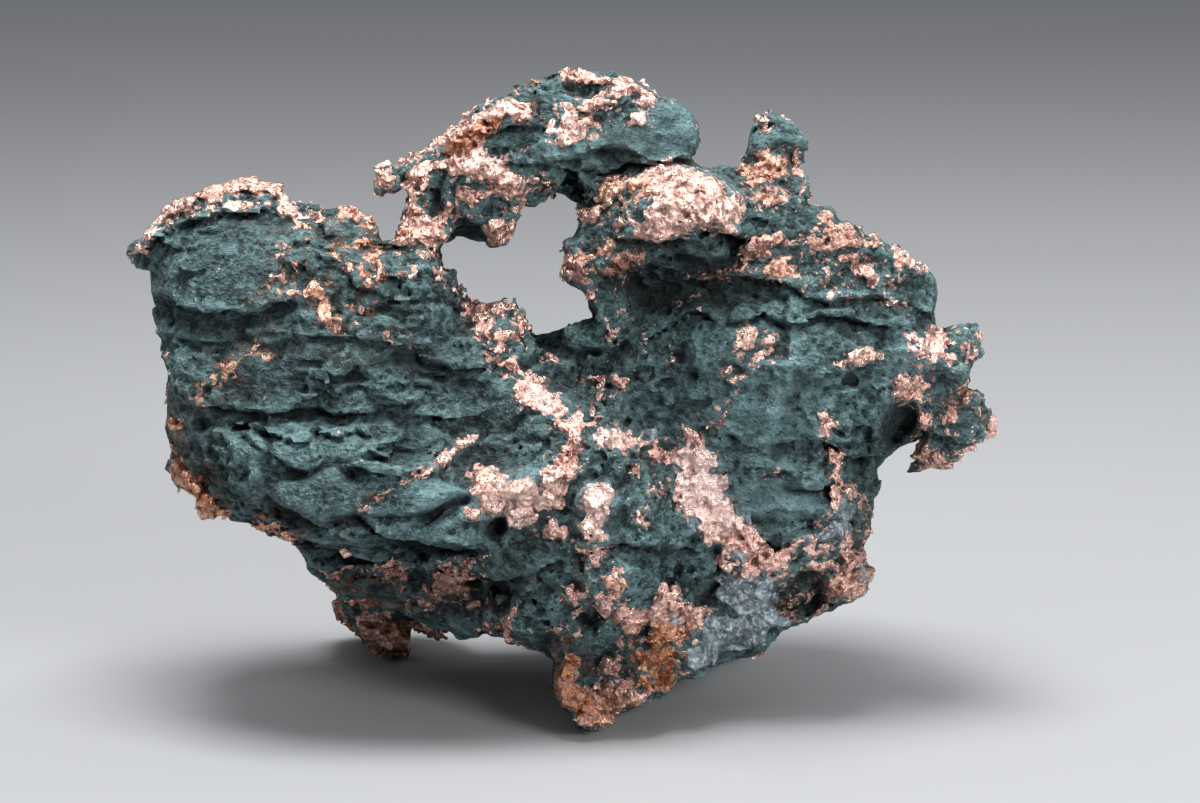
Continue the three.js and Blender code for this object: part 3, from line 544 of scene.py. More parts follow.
class Chart:
    """Values all over the front chart, painted on by shapes."""

    LOW = (-38.0, -5.0)
    HIGH = (38.0, 56.0)
    CELL = 0.12

    def __init__(self, start):
        across = np.arange(self.LOW[0], self.HIGH[0], self.CELL, dtype=np.float32)
        up = np.arange(self.LOW[1], self.HIGH[1], self.CELL, dtype=np.float32)
        self.u, self.v = np.meshgrid(across, up, indexing="ij")
        self.values = np.full(self.u.shape, start, np.float32)

    def near(self, u, v, reach):
        """The part of the chart about a point."""
        a = [int((middle - reach - low) / self.CELL) for middle, low in zip((u, v), self.LOW)]
        b = [int((middle + reach - low) / self.CELL) + 1 for middle, low in zip((u, v), self.LOW)]
        return tuple(slice(max(lo, 0), max(hi, 0)) for lo, hi in zip(a, b))

    def at(self, u, v):
        """The values at chart points."""
        a = np.clip((u - self.LOW[0]) / self.CELL, 0, self.values.shape[0] - 1.001)
        b = np.clip((v - self.LOW[1]) / self.CELL, 0, self.values.shape[1] - 1.001)
        i, j = a.astype(np.int32), b.astype(np.int32)
        s, t = a - i, b - j
        flat = self.values.ravel()
        k = i * self.values.shape[1] + j
        wide = self.values.shape[1]
        near_side = flat[k] * (1 - t) + flat[k + 1] * t
        return near_side * (1 - s) + (flat[k + wide] * (1 - t) + flat[k + wide + 1] * t) * s

    def patches(self, by_height):
        """Mounds: their height inside, and outside them about how far away they are, below zero.

        One with a height below zero is a bare spot in the mounds before it.
        """
        items = [(*patch(*place), height) for height, places in by_height.items() for place in places]
        for across, up, long, wide, lean, tall in items:
            here = self.near(across, up, max(long, wide) + 3)
            x, y = turned(self.u[here] - across, self.v[here] - up, lean)
            away = (x / long) ** 2 + (y / wide) ** 2
            old = self.values[here]
            if tall < 0:
                self.values[here] = np.where(away < 1, np.minimum(old, tall * (1 - away)), old)
                continue
            inside = tall * np.maximum(1 - away, 0) ** 0.7
            outside = (1 - np.sqrt(away)) * min(long, wide)
            self.values[here] = np.maximum(old, np.where(away < 1, inside, outside))
        return self

    def spots(self, items):
        """Soft-edged spots, added up: each amount in the middle of a spot, and nothing outside it."""
        for across, up, long, wide, lean, amount in items:
            here = self.near(across, up, max(long, wide) * 1.5)
            x, y = turned(self.u[here] - across, self.v[here] - up, lean)
            away = (x / long) ** 2 + (y / wide) ** 2
            self.values[here] += amount * smooth(1.5, 0.4, away)
        return self

    def to_line(self, points, here, closed=False):
        """How far chart points are from a line of points, on which side, and how far past its ends."""
        u, v = self.u[here], self.v[here]
        best = np.full(u.shape, 1e6, np.float32)
        side = np.ones(u.shape, np.float32)
        past = np.zeros(u.shape, np.float32)
        ring = points + points[:1] if closed else points
        last = len(ring) - 2
        for i, ((x0, z0), (x1, z1)) in enumerate(zip(ring, ring[1:])):
            dx, dz = x1 - x0, z1 - z0
            length = math.hypot(dx, dz)
            raw = ((u - x0) * dx + (v - z0) * dz) / length**2
            t = np.clip(raw, 0, 1)
            d2 = (u - x0 - t * dx) ** 2 + (v - z0 - t * dz) ** 2
            hit = d2 < best
            best = np.where(hit, d2, best)
            side = np.where(hit, np.sign(dx * (v - z0) - dz * (u - x0)), side)
            over = np.zeros(u.shape, np.float32)
            if i == 0 and not closed:
                over = np.maximum(over, -raw * length)
            if i == last and not closed:
                over = np.maximum(over, (raw - 1) * length)
            past = np.where(hit, over, past)
        return np.sqrt(best), side, past

    def about(self, points, margin):
        """The part of the chart about a line of points."""
        middle = np.mean(points, 0)
        reach = max(math.hypot(x - middle[0], z - middle[1]) for x, z in points)
        return self.near(*middle, reach + margin)

    def ledges(self, items):
        """Steps at lines of points, with a crack along each."""
        for step, up, down, groove, points in items:
            here = self.about(points, 2 * max(up, down))
            d, side, past = self.to_line(points, here)
            above = step * np.exp(-d / up)
            below = -step * np.exp(-d / down) - groove * np.exp(-((d / 0.36) ** 2))
            self.values[here] += np.where(side > 0, above, below) * np.exp(-past / 0.6)
        return self

    def cracks(self, items):
        """Narrow grooves along lines of points."""
        for deep, half, points in items:
            here = self.about(points, 3 * half)
            d, _side, _past = self.to_line(points, here)
            self.values[here] -= deep * np.exp(-((d / half) ** 2))
        return self

    def outside(self, ring):
        """How far outside a closed line the chart is, below zero inside it."""
        d, _side, _past = self.to_line(ring, (slice(None), slice(None)), closed=True)
        within = np.zeros(self.u.shape, bool)
        for (x0, z0), (x1, z1) in zip(ring, ring[1:] + ring[:1]):
            if z0 != z1:
                crosses = (z0 > self.v) != (z1 > self.v)
                within ^= crosses & (self.u < (x1 - x0) * (self.v - z0) / (z1 - z0) + x0)
        return np.where(within, -d, d)


def chart_place(p):
    """Where points are on the chart: across and up."""
    t = (CHART_Y - EYE[1]) / (p[:, 1] - EYE[1])
    return EYE[0] + (p[:, 0] - EYE[0]) * t + CHART_X, EYE[2] + (p[:, 2] - EYE[2]) * t


# ---------------------------------------------------------------- fields in space


class Field:
    """Values at the points of a grid: origin is the first point, step the way from one to the next."""

    def __init__(self, values, origin, step):
        self.values = values
        self.origin = np.asarray(origin, np.float32)
        self.step = step

    def at(self, p):
        return in_threads(lambda s: trilinear(self.values, (s - self.origin) / np.float32(self.step)), p)

    def blurred(self, times):
        v = self.values
        for _ in range(times):
            for axis in range(3):
                v = (np.roll(v, 1, axis) + 2 * v + np.roll(v, -1, axis)) / 4
        return Field(v, self.origin, self.step)

    def points(self, mask):
        return np.stack(np.nonzero(mask), 1).astype(np.float32) * np.float32(self.step) + self.origin

    def thinned(self, by):
        return Field(np.ascontiguousarray(self.values[::by, ::by, ::by]), self.origin, self.step * by)


def solid_field(node):
    """Distance to the node's surface, below zero inside it."""
    mesh = node.data
    mesh.calc_loop_triangles()
    co = np.zeros(len(mesh.vertices) * 3, np.float32)
    mesh.vertices.foreach_get("co", co)
    tris = np.zeros(len(mesh.loop_triangles) * 3, np.int32)
    mesh.loop_triangles.foreach_get("vertices", tris)
    co = co.reshape(-1, 3) / MM
    shape = vdb.FloatGrid.createLevelSetFromPolygons(
        co,
        triangles=tris.reshape(-1, 3).astype(np.uint32),
        transform=vdb.createLinearTransform(voxelSize=COARSE),
        halfWidth=BAND / COARSE,
    )
    first = np.floor((co.min(0) - BAND) / COARSE).astype(int) - 1
    last = np.ceil((co.max(0) + BAND) / COARSE).astype(int) + 1
    values = np.zeros(last - first, np.float32)
    shape.copyToArray(values, ijk=tuple(int(n) for n in first))
    return Field(values, first * COARSE, COARSE)


def facing(field, p):
    """1 on what faces the front viewpoint, 0 on what faces away."""
    reach = np.eye(3, dtype=np.float32) * 1.3
    out = np.stack([field.at(p + reach[a]) - field.at(p - reach[a]) for a in range(3)], 1)
    out /= np.linalg.norm(out, axis=1, keepdims=True) + 1e-6
    toward = EYE - p
    toward /= np.linalg.norm(toward, axis=1, keepdims=True)
    return smooth(-0.15, 0.12, np.einsum("ij,ij->i", out, toward))


def surface(field, mask, inside):
    """Points and quads where the field crosses zero. Outside the mask it is in or out, as inside says."""
    far = field.step * 3
    values = np.where(mask, np.clip(field.values, -far, far), np.where(inside, -far, far))
    grid = vdb.FloatGrid(far)
    grid.copyFromArray(values.astype(np.float32))
    points, quads = grid.convertToQuads(0.0)
    points = np.asarray(points, np.float32) * np.float32(field.step) + field.origin
    return points, np.asarray(quads, np.int64)


def drop_crumbs(points, quads, least):
    """The surface without its islands of fewer than least points."""
    label = np.arange(len(points))
    while True:
        low = label[quads].min(1)
        new = label.copy()
        np.minimum.at(new, quads.ravel(), np.repeat(low, 4))
        new = new[new]
        if np.array_equal(new, label):
            break
        label = new
    keep = np.bincount(label, minlength=len(points))[label] >= least
    number = np.cumsum(keep) - 1
    return points[keep], number[quads[keep[quads[:, 0]]]]


# ---------------------------------------------------------------- the rock

chart_outline = Chart(0)
chart_outline.values = np.maximum(chart_outline.outside(OUTLINE), -chart_outline.outside(HOLE))
chart_relief = Chart(0).ledges(LEDGES).cracks(CRACKS).spots([(*item[:5], -item[5]) for item in HOLLOWS])
chart_calm = Chart(0).spots(CALM)
chart_warm = Chart(0).spots(WARM)
# Painted light and shade, in a chart of its own.
chart_painted_light_and_shade = Chart(0).spots(PAINTED_LIGHT_AND_SHADE)
chart_dust = Chart(0).spots(DUST)
chart_copper = Chart(NONE_NEAR)
for _most, by_height in COPPER.values():
    chart_copper.patches(by_height)


def left_part(u):
    """1 in the layered block on the left, 0 to the right of it."""
    return smooth(-3, -9, u)


def form_value(p, packed):
    """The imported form, trimmed to the outline, with the big breaks cut into it."""
    u, v = chart_place(p)
    crust = 0.40 * smooth(-0.4, 0.3, chart_copper.at(u, v))
    rim = chart_outline.at(u, v) + 0.02 + 0.16 * noise(p, 5, 0) + crust
    breaks = facets(p, 6.5, 3) * (1.1 - 0.5 * left_part(u)) + 0.15 * noise(p, 8, 1)
    return smooth_max(packed - breaks, rim, 0.7)


def rock_value(p, level, seen):
    """The rock's field with all its relief, from the form's level and how much the front sees."""
    u, v = chart_place(p)
    rough = 1 - 0.8 * (np.clip(chart_calm.at(u, v), 0, 1) * seen)
    left = left_part(u)
    waved_u = u + (0.25 * noise(p, 2.6, 9) + 0.06 * noise(p, 1.0, 10))
    waved_v = v + (0.16 * noise(p, 2.8, 11) + 0.05 * noise(p, 1.0, 12))
    drawn = 0.7 * chart_relief.at(waved_u, waved_v) * seen
    tilted = p * np.array([0.35, 0.5, 1.5], np.float32)
    bed = (v + 0.10 * (u + 20) + 1.1 * noise(tilted, 12, 2) + 0.35 * noise(tilted, 4, 5)) / BED
    part = np.mod(bed, 1)
    slab = (0.5 - part) * 0.55 - 0.35 * np.exp(-((np.minimum(part, 1 - part) / 0.07) ** 2))
    slab *= smooth(-0.2, 1.1, noise(p, 8, 2)) * (0.35 + 0.65 * left) * (1 - 0.45 * seen)
    plates = p * np.array([0.6, 0.6, 1.5], np.float32)
    medium = facets(plates, 3.0, 31) * (0.40 + 0.35 * left) + facets(p, 1.9, 4) * (0.60 - 0.30 * seen)
    small = facets(plates, 1.1, 5) * 0.26 * left + facets(p, 1.0, 5) * 0.30 * (1 - left)
    grit = facets(p, 0.6, 6) * (0.25 - 0.08 * left) + 0.05 * noise(p, 0.9, 8) + 0.07 * noise(p, 1.9, 7)
    pits = 0.45 * smooth(1.3, 2.3, noise(p, 1.9, 13))
    value = level - drawn - (slab + medium + small - pits) * rough - grit * (0.45 + 0.55 * rough)
    return np.maximum(value, chart_outline.at(u, v) - 0.05 + 0.1 * noise(p, 0.9, 8))


base = solid_field(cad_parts["nugget"]).blurred(2)
near = np.abs(base.values) < BAND * 0.93  # where the distance is a true one
spots = base.points(near)
form = Field(base.values.copy(), base.origin, base.step)
form.values[near] = in_threads(form_value, spots, base.values[near])
front = Field(np.zeros_like(base.values), base.origin, base.step)
in_front = smooth(5.5, 1.5, spots[:, 1] + 1.2 * noise(spots, 4, 6))
front.values[near] = facing(form.blurred(2), spots) * in_front


def wild_cover(p):
    """How far copper covers the sides and the back, in strings and clusters, and where the back foot is."""
    cover = noise(p, 9, 22) + 0.55 * noise(p, 3.4, 23)
    foot = smooth(10, 6, p[:, 2]) * smooth(4, 8, p[:, 1]) * smooth(-5, -8, p[:, 0])
    return cover - 1.0 + 2.2 * foot, foot


def copper_nearby(p):
    """About how near the rock's points are to copper, below zero outside it."""
    u, v = chart_place(p)
    seen = front.at(p)
    painted = chart_copper.at(u, v) + chart_dust.at(u, v) - 3 * (1 - seen)
    return np.maximum(painted, wild_cover(p)[0] * 1.2 - 3 * seen)


def finer(field, split, wanted):
    """The points of a grid split times finer inside the cells that wanted marks, and that grid's box."""
    cell = np.stack(np.nonzero(wanted), 1)
    low, high = cell.min(0) - 1, cell.max(0) + 2
    marked = np.zeros(high - low, bool)
    marked[tuple((cell - low).T)] = True
    mask = marked.repeat(split, 0).repeat(split, 1).repeat(split, 2)
    origin = field.origin + low * field.step
    return mask, Field(np.zeros(mask.shape, np.float32), origin, field.step / split)


rock_mask, rock = finer(form, ROCK_SPLIT, near & (np.abs(form.values) < REACH))
spots = rock.points(rock_mask)
broken = in_threads(rock_value, spots, form.at(spots), front.at(spots))
rock.values[rock_mask] = np.maximum(broken, -spots[:, 2])
rock.values[~rock_mask] = np.sign(form.at(rock.points(~rock_mask))) * REACH
rock_wide = rock.thinned(2).blurred(7)
rock_narrow = rock.blurred(2)


def apply_modifiers(piece):
    """The piece with its modifiers worked into its mesh."""
    graph = bpy.context.evaluated_depsgraph_get()
    made = bpy.data.meshes.new_from_object(piece.evaluated_get(graph))
    piece.modifiers.clear()
    piece.data = made


def make_piece(name, points, quads, slot, wide, narrow, material, most):
    """A mesh object from points in millimetres, thinned to most triangles."""
    mesh = bpy.data.meshes.new(name)
    mesh.vertices.add(len(points))
    mesh.vertices.foreach_set("co", (points * MM).astype(np.float32).ravel())
    mesh.loops.add(len(quads) * 4)
    mesh.loops.foreach_set("vertex_index", quads[:, ::-1].astype(np.int32).ravel())
    mesh.polygons.add(len(quads))
    mesh.polygons.foreach_set("loop_start", np.arange(0, len(quads) * 4, 4, dtype=np.int32))
    mesh.polygons.foreach_set("loop_total", np.full(len(quads), 4, np.int32))
    mesh.update(calc_edges=True)
    mesh.validate()
    piece = bpy.data.objects.new(name, mesh)
    bpy.context.scene.collection.objects.link(piece)
    if len(quads) * 2 > most:
        thin = piece.modifiers.new("thin", "DECIMATE")
        thin.ratio = most / (len(quads) * 2)
        if slot == "greenstone":
            seen = front.at(points) > 0.5
            group = piece.vertex_groups.new(name="share")
            group.add(np.nonzero(seen)[0].tolist(), FRONT_THINNING, "REPLACE")
            group.add(np.nonzero(~seen)[0].tolist(), REST_THINNING, "REPLACE")
            thin.vertex_group = "share"
        apply_modifiers(piece)
        piece.vertex_groups.clear()
    mesh = piece.data
    co = np.zeros(len(mesh.vertices) * 3, np.float32)
    mesh.vertices.foreach_get("co", co)
    co = co.reshape(-1, 3) / np.float32(MM)
    u, v = chart_place(co)
    vein = copper_nearby(co) if slot == "greenstone" else rock.at(co)
    seen, foot = front.at(co), wild_cover(co)[1]
    warm = chart_warm.at(u, v) * seen + foot + 0.4 * smooth(0.4, 1.4, noise(co, 7, 29)) * (1 - seen)
    # Painted light and shade on what the front sees, and painted shade on the back foot.
    painted_light_and_shade = chart_painted_light_and_shade.at(u, v) * seen - 0.6 * foot
    layers = {"stands": wide.at(co), "edge": narrow.at(co), "warm": warm, "painted_light_and_shade": painted_light_and_shade, "vein": vein}
    for layer, values in layers.items():
        mesh.attributes.new(layer, "FLOAT", "POINT").data.foreach_set("value", values.astype(np.float32))
    mesh.polygons.foreach_set("use_smooth", np.ones(len(mesh.polygons), bool))
    mesh.set_sharp_from_angle(angle=math.radians(SHARP))
    mesh.materials.append(material)
    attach(piece, "root")
    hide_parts("nugget")


def build_rock(material):
    points, quads = surface(rock, rock_mask, rock.values < 0)
    points, quads = drop_crumbs(points, quads, least=2000)
    make_piece("greenstone", points, quads, "greenstone", rock_wide, rock_narrow, material, ROCK_MOST)


# ---------------------------------------------------------------- the copper and the quartz


def grown(split, wanted, height, least):
    """Closed lumps that stand height above the rock's surface and are rooted in it."""
    mask, field = finer(form, split, wanted)
    p = field.points(mask)
    level = rock.at(p)
    up = in_threads(height, p, front.at(p))
    u, v = chart_place(p)
    rim = chart_outline.at(u, v) + 0.05 + 0.2 * noise(p, 0.9, 30)
    value = np.maximum(np.maximum(level - up, rim), -ROOT - form.at(p) - 0.35 * (up < 0.1))
    field.values[mask] = np.maximum(value, -p[:, 2])
    field.values[~mask] = 1
    points, quads = surface(field, mask, np.zeros(mask.shape, bool))
    points, quads = drop_crumbs(points, quads, least)
    return points, quads, field


def grain(p):
    """The copper's own skin: nodules, crystals and hackly points."""
    crystals = 0.30 * lumps(p, 1.5, 14) + 0.15 * facets(p, 0.8, 15) + 0.20 * facets(p, 0.42, 16)
    return crystals + 0.08 * noise(p, 2.6, 17)


def grained(p, best):
    """Copper's height with its skin, which never opens a hole in it."""
    return best + np.maximum(grain(p) * smooth(-0.25, 0.35, best), -0.65 * np.maximum(best, 0))


def chart_height(painted):
    """The height of copper that a chart's patches lay out, as a function of the points."""

    def height(p, seen):
        u, v = chart_place(p)
        u = u + 0.22 * noise(p, 1.9, 18) + 0.10 * noise(p, 0.8, 19)
        v = v + 0.22 * noise(p, 1.9, 20) + 0.10 * noise(p, 0.8, 21)
        best = painted.at(u, v)
        best = best + 0.10 * noise(p, 1.1, 29) * smooth(0.9, 0.2, best)
        return grained(p, np.minimum(best * 0.9, 1.2) - 0.11 - 2 * (1 - seen))

    return height


def wild_height(p, seen):
    """The height of the copper on the sides and the back, in strings and clusters."""
    cover, foot = wild_cover(p)
    kept_off = 3 * smooth(0.35, 0.75, seen) * (1 - foot)
    return grained(p, np.minimum(0.6 * (cover + 0.3 * noise(p, 1.4, 24)), 0.6) - kept_off)


def quartz_height(painted):
    """The height of the quartz, in the same way."""

    def height(p, seen):
        u, v = chart_place(p)
        best = painted.at(u + 0.25 * noise(p, 2.0, 25), v + 0.25 * noise(p, 2.0, 26))
        best = np.minimum(best, 0.5) - 2 * (1 - seen)
        return best + 0.26 * facets(p, 2.0, 27) + 0.09 * facets(p, 0.7, 28)

    return height


def wanted_cells(painted):
    """The form's cells near the surface that a chart's patches may touch."""
    close = near & (np.abs(form.values) < 2.4) & (front.values > 0.02)
    u, v = chart_place(form.points(close))
    wanted = np.zeros(close.shape, bool)
    wanted[close] = painted.at(u, v) > -0.75
    return wanted


def wanted_back():
    """The form's cells near the surface that the copper of the sides and the back may touch."""
    close = near & (np.abs(form.values) < 1.9)
    p = form.points(close)
    cover, foot = wild_cover(p)
    wanted = np.zeros(close.shape, bool)
    wanted[close] = ((front.values[close] < 0.8) & (cover > -0.55)) | (foot > 0)
    return wanted


def build_copper(material):
    for name, (most, by_height) in COPPER.items():
        painted = Chart(NONE_NEAR).patches(by_height)
        points, quads, field = grown(FRONT_SPLIT, wanted_cells(painted), chart_height(painted), least=120)
        wide = field.thinned(2).blurred(5)
        make_piece(name, points, quads, "copper", wide, field.blurred(2), material, most)
    points, quads, field = grown(BACK_SPLIT, wanted_back(), wild_height, least=150)
    wide = field.thinned(2).blurred(3)
    make_piece("copper_back", points, quads, "copper", wide, field.blurred(1), material, BACK_MOST)


def build_quartz(material):
    painted = Chart(NONE_NEAR).patches(QUARTZ)
    points, quads, field = grown(QUARTZ_SPLIT, wanted_cells(painted), quartz_height(painted), least=80)
    wide = field.thinned(2).blurred(3)
    make_piece("quartz", points, quads, "quartz", wide, field.blurred(1), material, QUARTZ_MOST)


# ---------------------------------------------------------------- materials


class Nodes:
    """A material's nodes, made by short calls."""

    def __init__(self, name):
        self.material = bpy.data.materials.new(name)
        self.material.use_nodes = True
        self.tree = self.material.node_tree
        self.shader = self.tree.nodes["Principled BSDF"]
        self.place = self.add("ShaderNodeTexCoord").outputs["Object"]

    def add(self, kind, inputs=None, **settings):
        node = self.tree.nodes.new(kind)
        for key, value in settings.items():
            setattr(node, key, value)
        for key, value in (inputs or {}).items():
            self.put(node.inputs[key], value)
        return node

    def put(self, socket, value):
        if isinstance(value, bpy.types.NodeSocket):
            self.tree.links.new(value, socket)
        else:
            socket.default_value = value

    def noise(self, per_mm, detail=4.0, rough=0.6, place=None):
        inputs = {"Vector": place or self.place, "Scale": per_mm / MM, "Detail": detail, "Roughness": rough}
        return self.add("ShaderNodeTexNoise", inputs).outputs["Fac"]

    def stretched(self, x, y, z):
        """Places drawn out along what has the smaller factors."""
        made = self.add("ShaderNodeVectorMath", {0: self.place, 1: (x, y, z)}, operation="MULTIPLY")
        return made.outputs[0]

    def cells(self, per_mm, output="Distance"):
        made = self.add("ShaderNodeTexVoronoi", {"Vector": self.place, "Scale": per_mm / MM})
        return made.outputs[output]

    def layer(self, name):
        return self.add("ShaderNodeAttribute", attribute_name=name).outputs["Fac"]

    def span(self, value, low, high, to_low=0.0, to_high=1.0):
        inputs = {"Value": value, "From Min": low, "From Max": high, "To Min": to_low, "To Max": to_high}
        return self.add("ShaderNodeMapRange", inputs).outputs["Result"]

    def math(self, a, b, operation="MULTIPLY"):
        return self.add("ShaderNodeMath", {0: a, 1: b}, operation=operation).outputs[0]

    def mix(self, share, a, b):
        made = self.add("ShaderNodeMix", data_type="RGBA")
        for socket, value in ((made.inputs[0], share), (made.inputs[6], a), (made.inputs[7], b)):
            self.put(socket, value if isinstance(value, (bpy.types.NodeSocket, float)) else (*value, 1.0))
        return made.outputs[2]

    def bump(self, height, strength, distance, after=None):
        inputs = {"Height": height, "Strength": strength, "Distance": distance * MM}
        if after:
            inputs["Normal"] = after
        return self.add("ShaderNodeBump", inputs).outputs["Normal"]


def rock_colour(n, weave, grain):
    """Dark teal-grey altered basalt: clouded, with pale grains and dark specks."""
    cloud = n.span(n.noise(0.13, 6, 0.65), 0.38, 0.62)
    pale = n.span(n.noise(0.45, 6, 0.65), 0.50, 0.62)
    colour = n.mix(cloud, (0.017, 0.045, 0.049), (0.070, 0.142, 0.151))
    colour = n.mix(n.math(pale, 0.7), colour, (0.145, 0.256, 0.273))
    colour = n.mix(n.span(weave, 0.38, 0.50, 0.85, 0.0), colour, (0.008, 0.018, 0.020))
    colour = n.mix(n.span(grain, 0.52, 0.66, 0.0, 0.75), colour, (0.180, 0.312, 0.324))
    return n.mix(n.span(grain, 0.36, 0.45, 0.9, 0.0), colour, (0.005, 0.011, 0.012))


def copper_colour(n, crystal):
    """Bare pinkish copper, brown-red in its creases and golden or rusty where it is warm."""
    hue = n.span(n.noise(0.16, 4), 0.38, 0.62)
    crease = n.span(n.noise(1.9, 4, 0.6), 0.38, 0.50)
    colour = n.mix(hue, (0.88, 0.535, 0.455), (0.96, 0.690, 0.625))
    colour = n.mix(0.2, colour, n.mix(crystal, (0.46, 0.180, 0.115), (1.0, 0.72, 0.62)))
    warm = n.math(n.layer("warm"), n.span(n.noise(0.35, 5), 0.35, 0.6, 0.7, 1.1))
    golden = n.span(n.noise(0.6, 4), 0.40, 0.60)
    colour = n.mix(warm, colour, n.mix(golden, (0.34, 0.085, 0.022), (0.86, 0.42, 0.20)))
    return n.mix(crease, n.mix(0.78, colour, (0.130, 0.034, 0.018)), colour)


def with_painted_light_and_shade(n, colour, pale, dark):
    """The colour with painted light and shade: paler where the chart paints light, darker where it paints
    shade.
    """
    colour = n.mix(n.span(n.layer("painted_light_and_shade"), 0, 1, 0.0, 0.75), colour, pale)
    return n.mix(n.span(n.layer("painted_light_and_shade"), -1, 0, 0.85, 0.0), colour, dark)


def greenstone():
    n = Nodes("greenstone")
    drawn_out = n.stretched(0.85, 0.85, 1.2)
    weave = n.noise(1.15, 4, 0.62, drawn_out)
    grain = n.noise(2.4, 3, 0.6, drawn_out)
    colour = rock_colour(n, weave, grain)
    # Painted highlight: paler teal on edges that stand out.
    colour = n.mix(n.math(n.span(n.layer("edge"), -0.02, 0.09), 0.35), colour, (0.164, 0.270, 0.272))
    # Painted light and shade on the rock: pale teal where it is painted lit, near black where it is painted
    # shaded.
    colour = with_painted_light_and_shade(n, colour, (0.258, 0.430, 0.458), (0.004, 0.008, 0.009))
    rust = n.math(n.span(n.noise(0.5, 6, 0.7), 0.48, 0.64), n.span(n.layer("warm"), 0.1, 0.9, 0.0, 0.75))
    colour = n.mix(rust, colour, (0.16, 0.060, 0.020))
    nearby = n.span(n.layer("vein"), -1.0, 0.1, 0.0, 0.14)
    fleck = n.span(n.math(n.noise(1.5, 4, 0.65), nearby, "ADD"), 0.69, 0.715)
    colour = n.mix(fleck, colour, copper_colour(n, n.cells(2.6, output="Color")))
    # Painted shade: near black where the surface lies back from its surroundings, in hollows, cracks and
    # under ledges.
    colour = n.mix(n.span(n.layer("stands"), -0.65, 0.40), (0.003, 0.007, 0.008), colour)
    n.put(n.shader.inputs["Base Color"], colour)
    n.put(n.shader.inputs["Metallic"], n.math(fleck, 0.7))
    n.put(n.shader.inputs["Roughness"], n.span(grain, 0.35, 0.65, 0.95, 0.55))
    n.shader.inputs["Specular IOR Level"].default_value = 0.35
    coarse = n.bump(weave, 1.0, 0.75)
    n.put(n.shader.inputs["Normal"], n.bump(grain, 1.0, 0.55, coarse))
    return n.material


def copper():
    n = Nodes("copper")
    colour = copper_colour(n, n.cells(2.6, output="Color"))
    # Dark brown in the copper's hollows, where it is also less metallic: tarnish that gathers there,
    # together with painted shade.
    stands = n.span(n.layer("stands"), -0.30, 0.16)
    colour = n.mix(stands, (0.050, 0.014, 0.009), colour)
    # Painted highlight: paler pink on the copper's edges that stand out.
    colour = n.mix(n.math(n.span(n.layer("edge"), -0.01, 0.07), 0.35), colour, (1.0, 0.68, 0.56))
    # Painted light and shade on the copper: pale pink where it is painted lit, dark brown where it is
    # painted shaded.
    colour = with_painted_light_and_shade(n, colour, (1.0, 0.82, 0.77), (0.090, 0.030, 0.016))
    thick = n.span(n.layer("vein"), -0.05, 0.28, 0.0, 0.30)
    metal = n.span(n.math(n.noise(1.7, 4, 0.65), thick, "ADD"), 0.50, 0.53)
    colour = n.mix(metal, rock_colour(n, n.noise(1.25, 4, 0.62), n.noise(2.4, 3, 0.6)), colour)
    n.put(n.shader.inputs["Base Color"], colour)
    n.put(n.shader.inputs["Metallic"], n.math(n.span(stands, 0, 1, 0.6, 1.0), metal))
    n.put(n.shader.inputs["Roughness"], n.span(n.noise(2.0, 3), 0.35, 0.65, 0.16, 0.46))
    coarse = n.bump(n.cells(1.9), 0.7, 0.22)
    n.put(n.shader.inputs["Normal"], n.bump(n.noise(2.8, 4, 0.6), 0.9, 0.38, coarse))
    return n.material


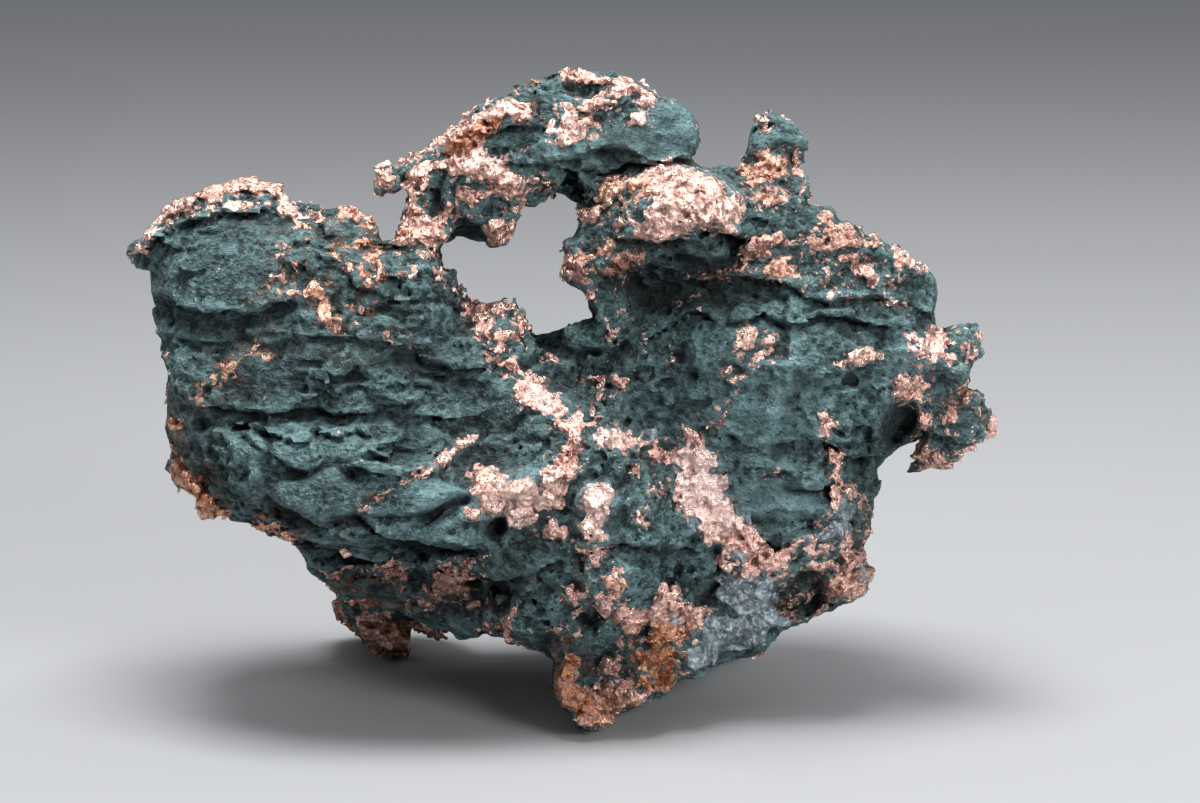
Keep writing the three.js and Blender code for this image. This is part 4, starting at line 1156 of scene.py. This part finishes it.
def quartz():
    n = Nodes("quartz")
    cloud = n.span(n.noise(0.8, 5, 0.65), 0.40, 0.60)
    colour = n.mix(cloud, (0.045, 0.068, 0.078), (0.19, 0.240, 0.265))
    colour = n.mix(n.span(n.noise(1.9, 4, 0.65), 0.50, 0.62, 0.0, 0.7), colour, (0.56, 0.63, 0.67))
    colour = n.mix(n.span(n.noise(0.7, 5, 0.7), 0.40, 0.46, 0.8, 0.0), colour, (0.025, 0.040, 0.046))
    # Painted shade: dark where the quartz lies back in hollows.
    colour = n.mix(n.span(n.layer("stands"), -0.35, 0.1), (0.03, 0.05, 0.06), colour)
    n.put(n.shader.inputs["Base Color"], colour)
    n.put(n.shader.inputs["Roughness"], n.span(n.noise(2.0, 4), 0.3, 0.7, 0.22, 0.5))
    n.shader.inputs["Subsurface Weight"].default_value = 0.12
    n.shader.inputs["Subsurface Radius"].default_value = (0.001, 0.001, 0.001)
    n.put(n.shader.inputs["Normal"], n.bump(n.noise(2.2, 5, 0.65), 0.8, 0.25))
    return n.material


def plain_floor():
    n = Nodes("floor")
    n.shader.inputs["Base Color"].default_value = (0.30, 0.305, 0.315, 1)
    n.shader.inputs["Roughness"].default_value = 0.75
    return n.material


# ---------------------------------------------------------------- floor, lights and camera


def build_stage():
    bpy.ops.mesh.primitive_plane_add(size=4, location=(0, 0, 0))
    floor = bpy.context.object
    floor.name = "floor"
    floor.data.materials.append(plain_floor())
    world = bpy.data.worlds.new("studio")
    bpy.context.scene.world = world
    world.use_nodes = True
    world.node_tree.nodes["Background"].inputs["Color"].default_value = (0.80, 0.85, 0.92, 1)
    world.node_tree.nodes["Background"].inputs["Strength"].default_value = 0.15


def softbox(name, place, size, power):
    """A soft light at a place in metres, turned to the nugget's middle."""
    light = bpy.data.lights.new(name, "AREA")
    light.shape = "RECTANGLE"
    light.size, light.size_y = size
    light.energy = power
    lamp = bpy.data.objects.new(name, light)
    bpy.context.scene.collection.objects.link(lamp)
    lamp.location = place
    lamp.rotation_euler = (MIDDLE - lamp.location).to_track_quat("-Z", "Y").to_euler()


def build_camera():
    data = bpy.data.cameras.new("camera")
    data.lens = 100
    data.sensor_width = 36
    data.clip_start = 0.01
    camera = bpy.data.objects.new("camera", data)
    bpy.context.scene.collection.objects.link(camera)
    camera.location = Vector(EYE.tolist()) * MM
    camera.rotation_euler = Vector((AIM - EYE).tolist()).to_track_quat("-Z", "Y").to_euler()
    bpy.context.scene.camera = camera


build_camera()
build_stage()
softbox("ceiling", (0, 0, 2.0), (4.0, 4.0), 26)
softbox("overhead", (-0.02, -0.04, 0.40), (0.20, 0.16), 2.5)
softbox("front_right", (0.32, -0.40, 0.22), (0.20, 0.16), 2.3)
softbox("fill_left", (-0.40, -0.35, 0.24), (0.3, 0.3), 0.3)
softbox("rim_right", (0.38, 0.16, 0.26), (0.2, 0.2), 0.5)
bpy.context.scene.view_settings.view_transform = "Standard"

build_rock(greenstone())
build_copper(copper())
build_quartz(quartz())
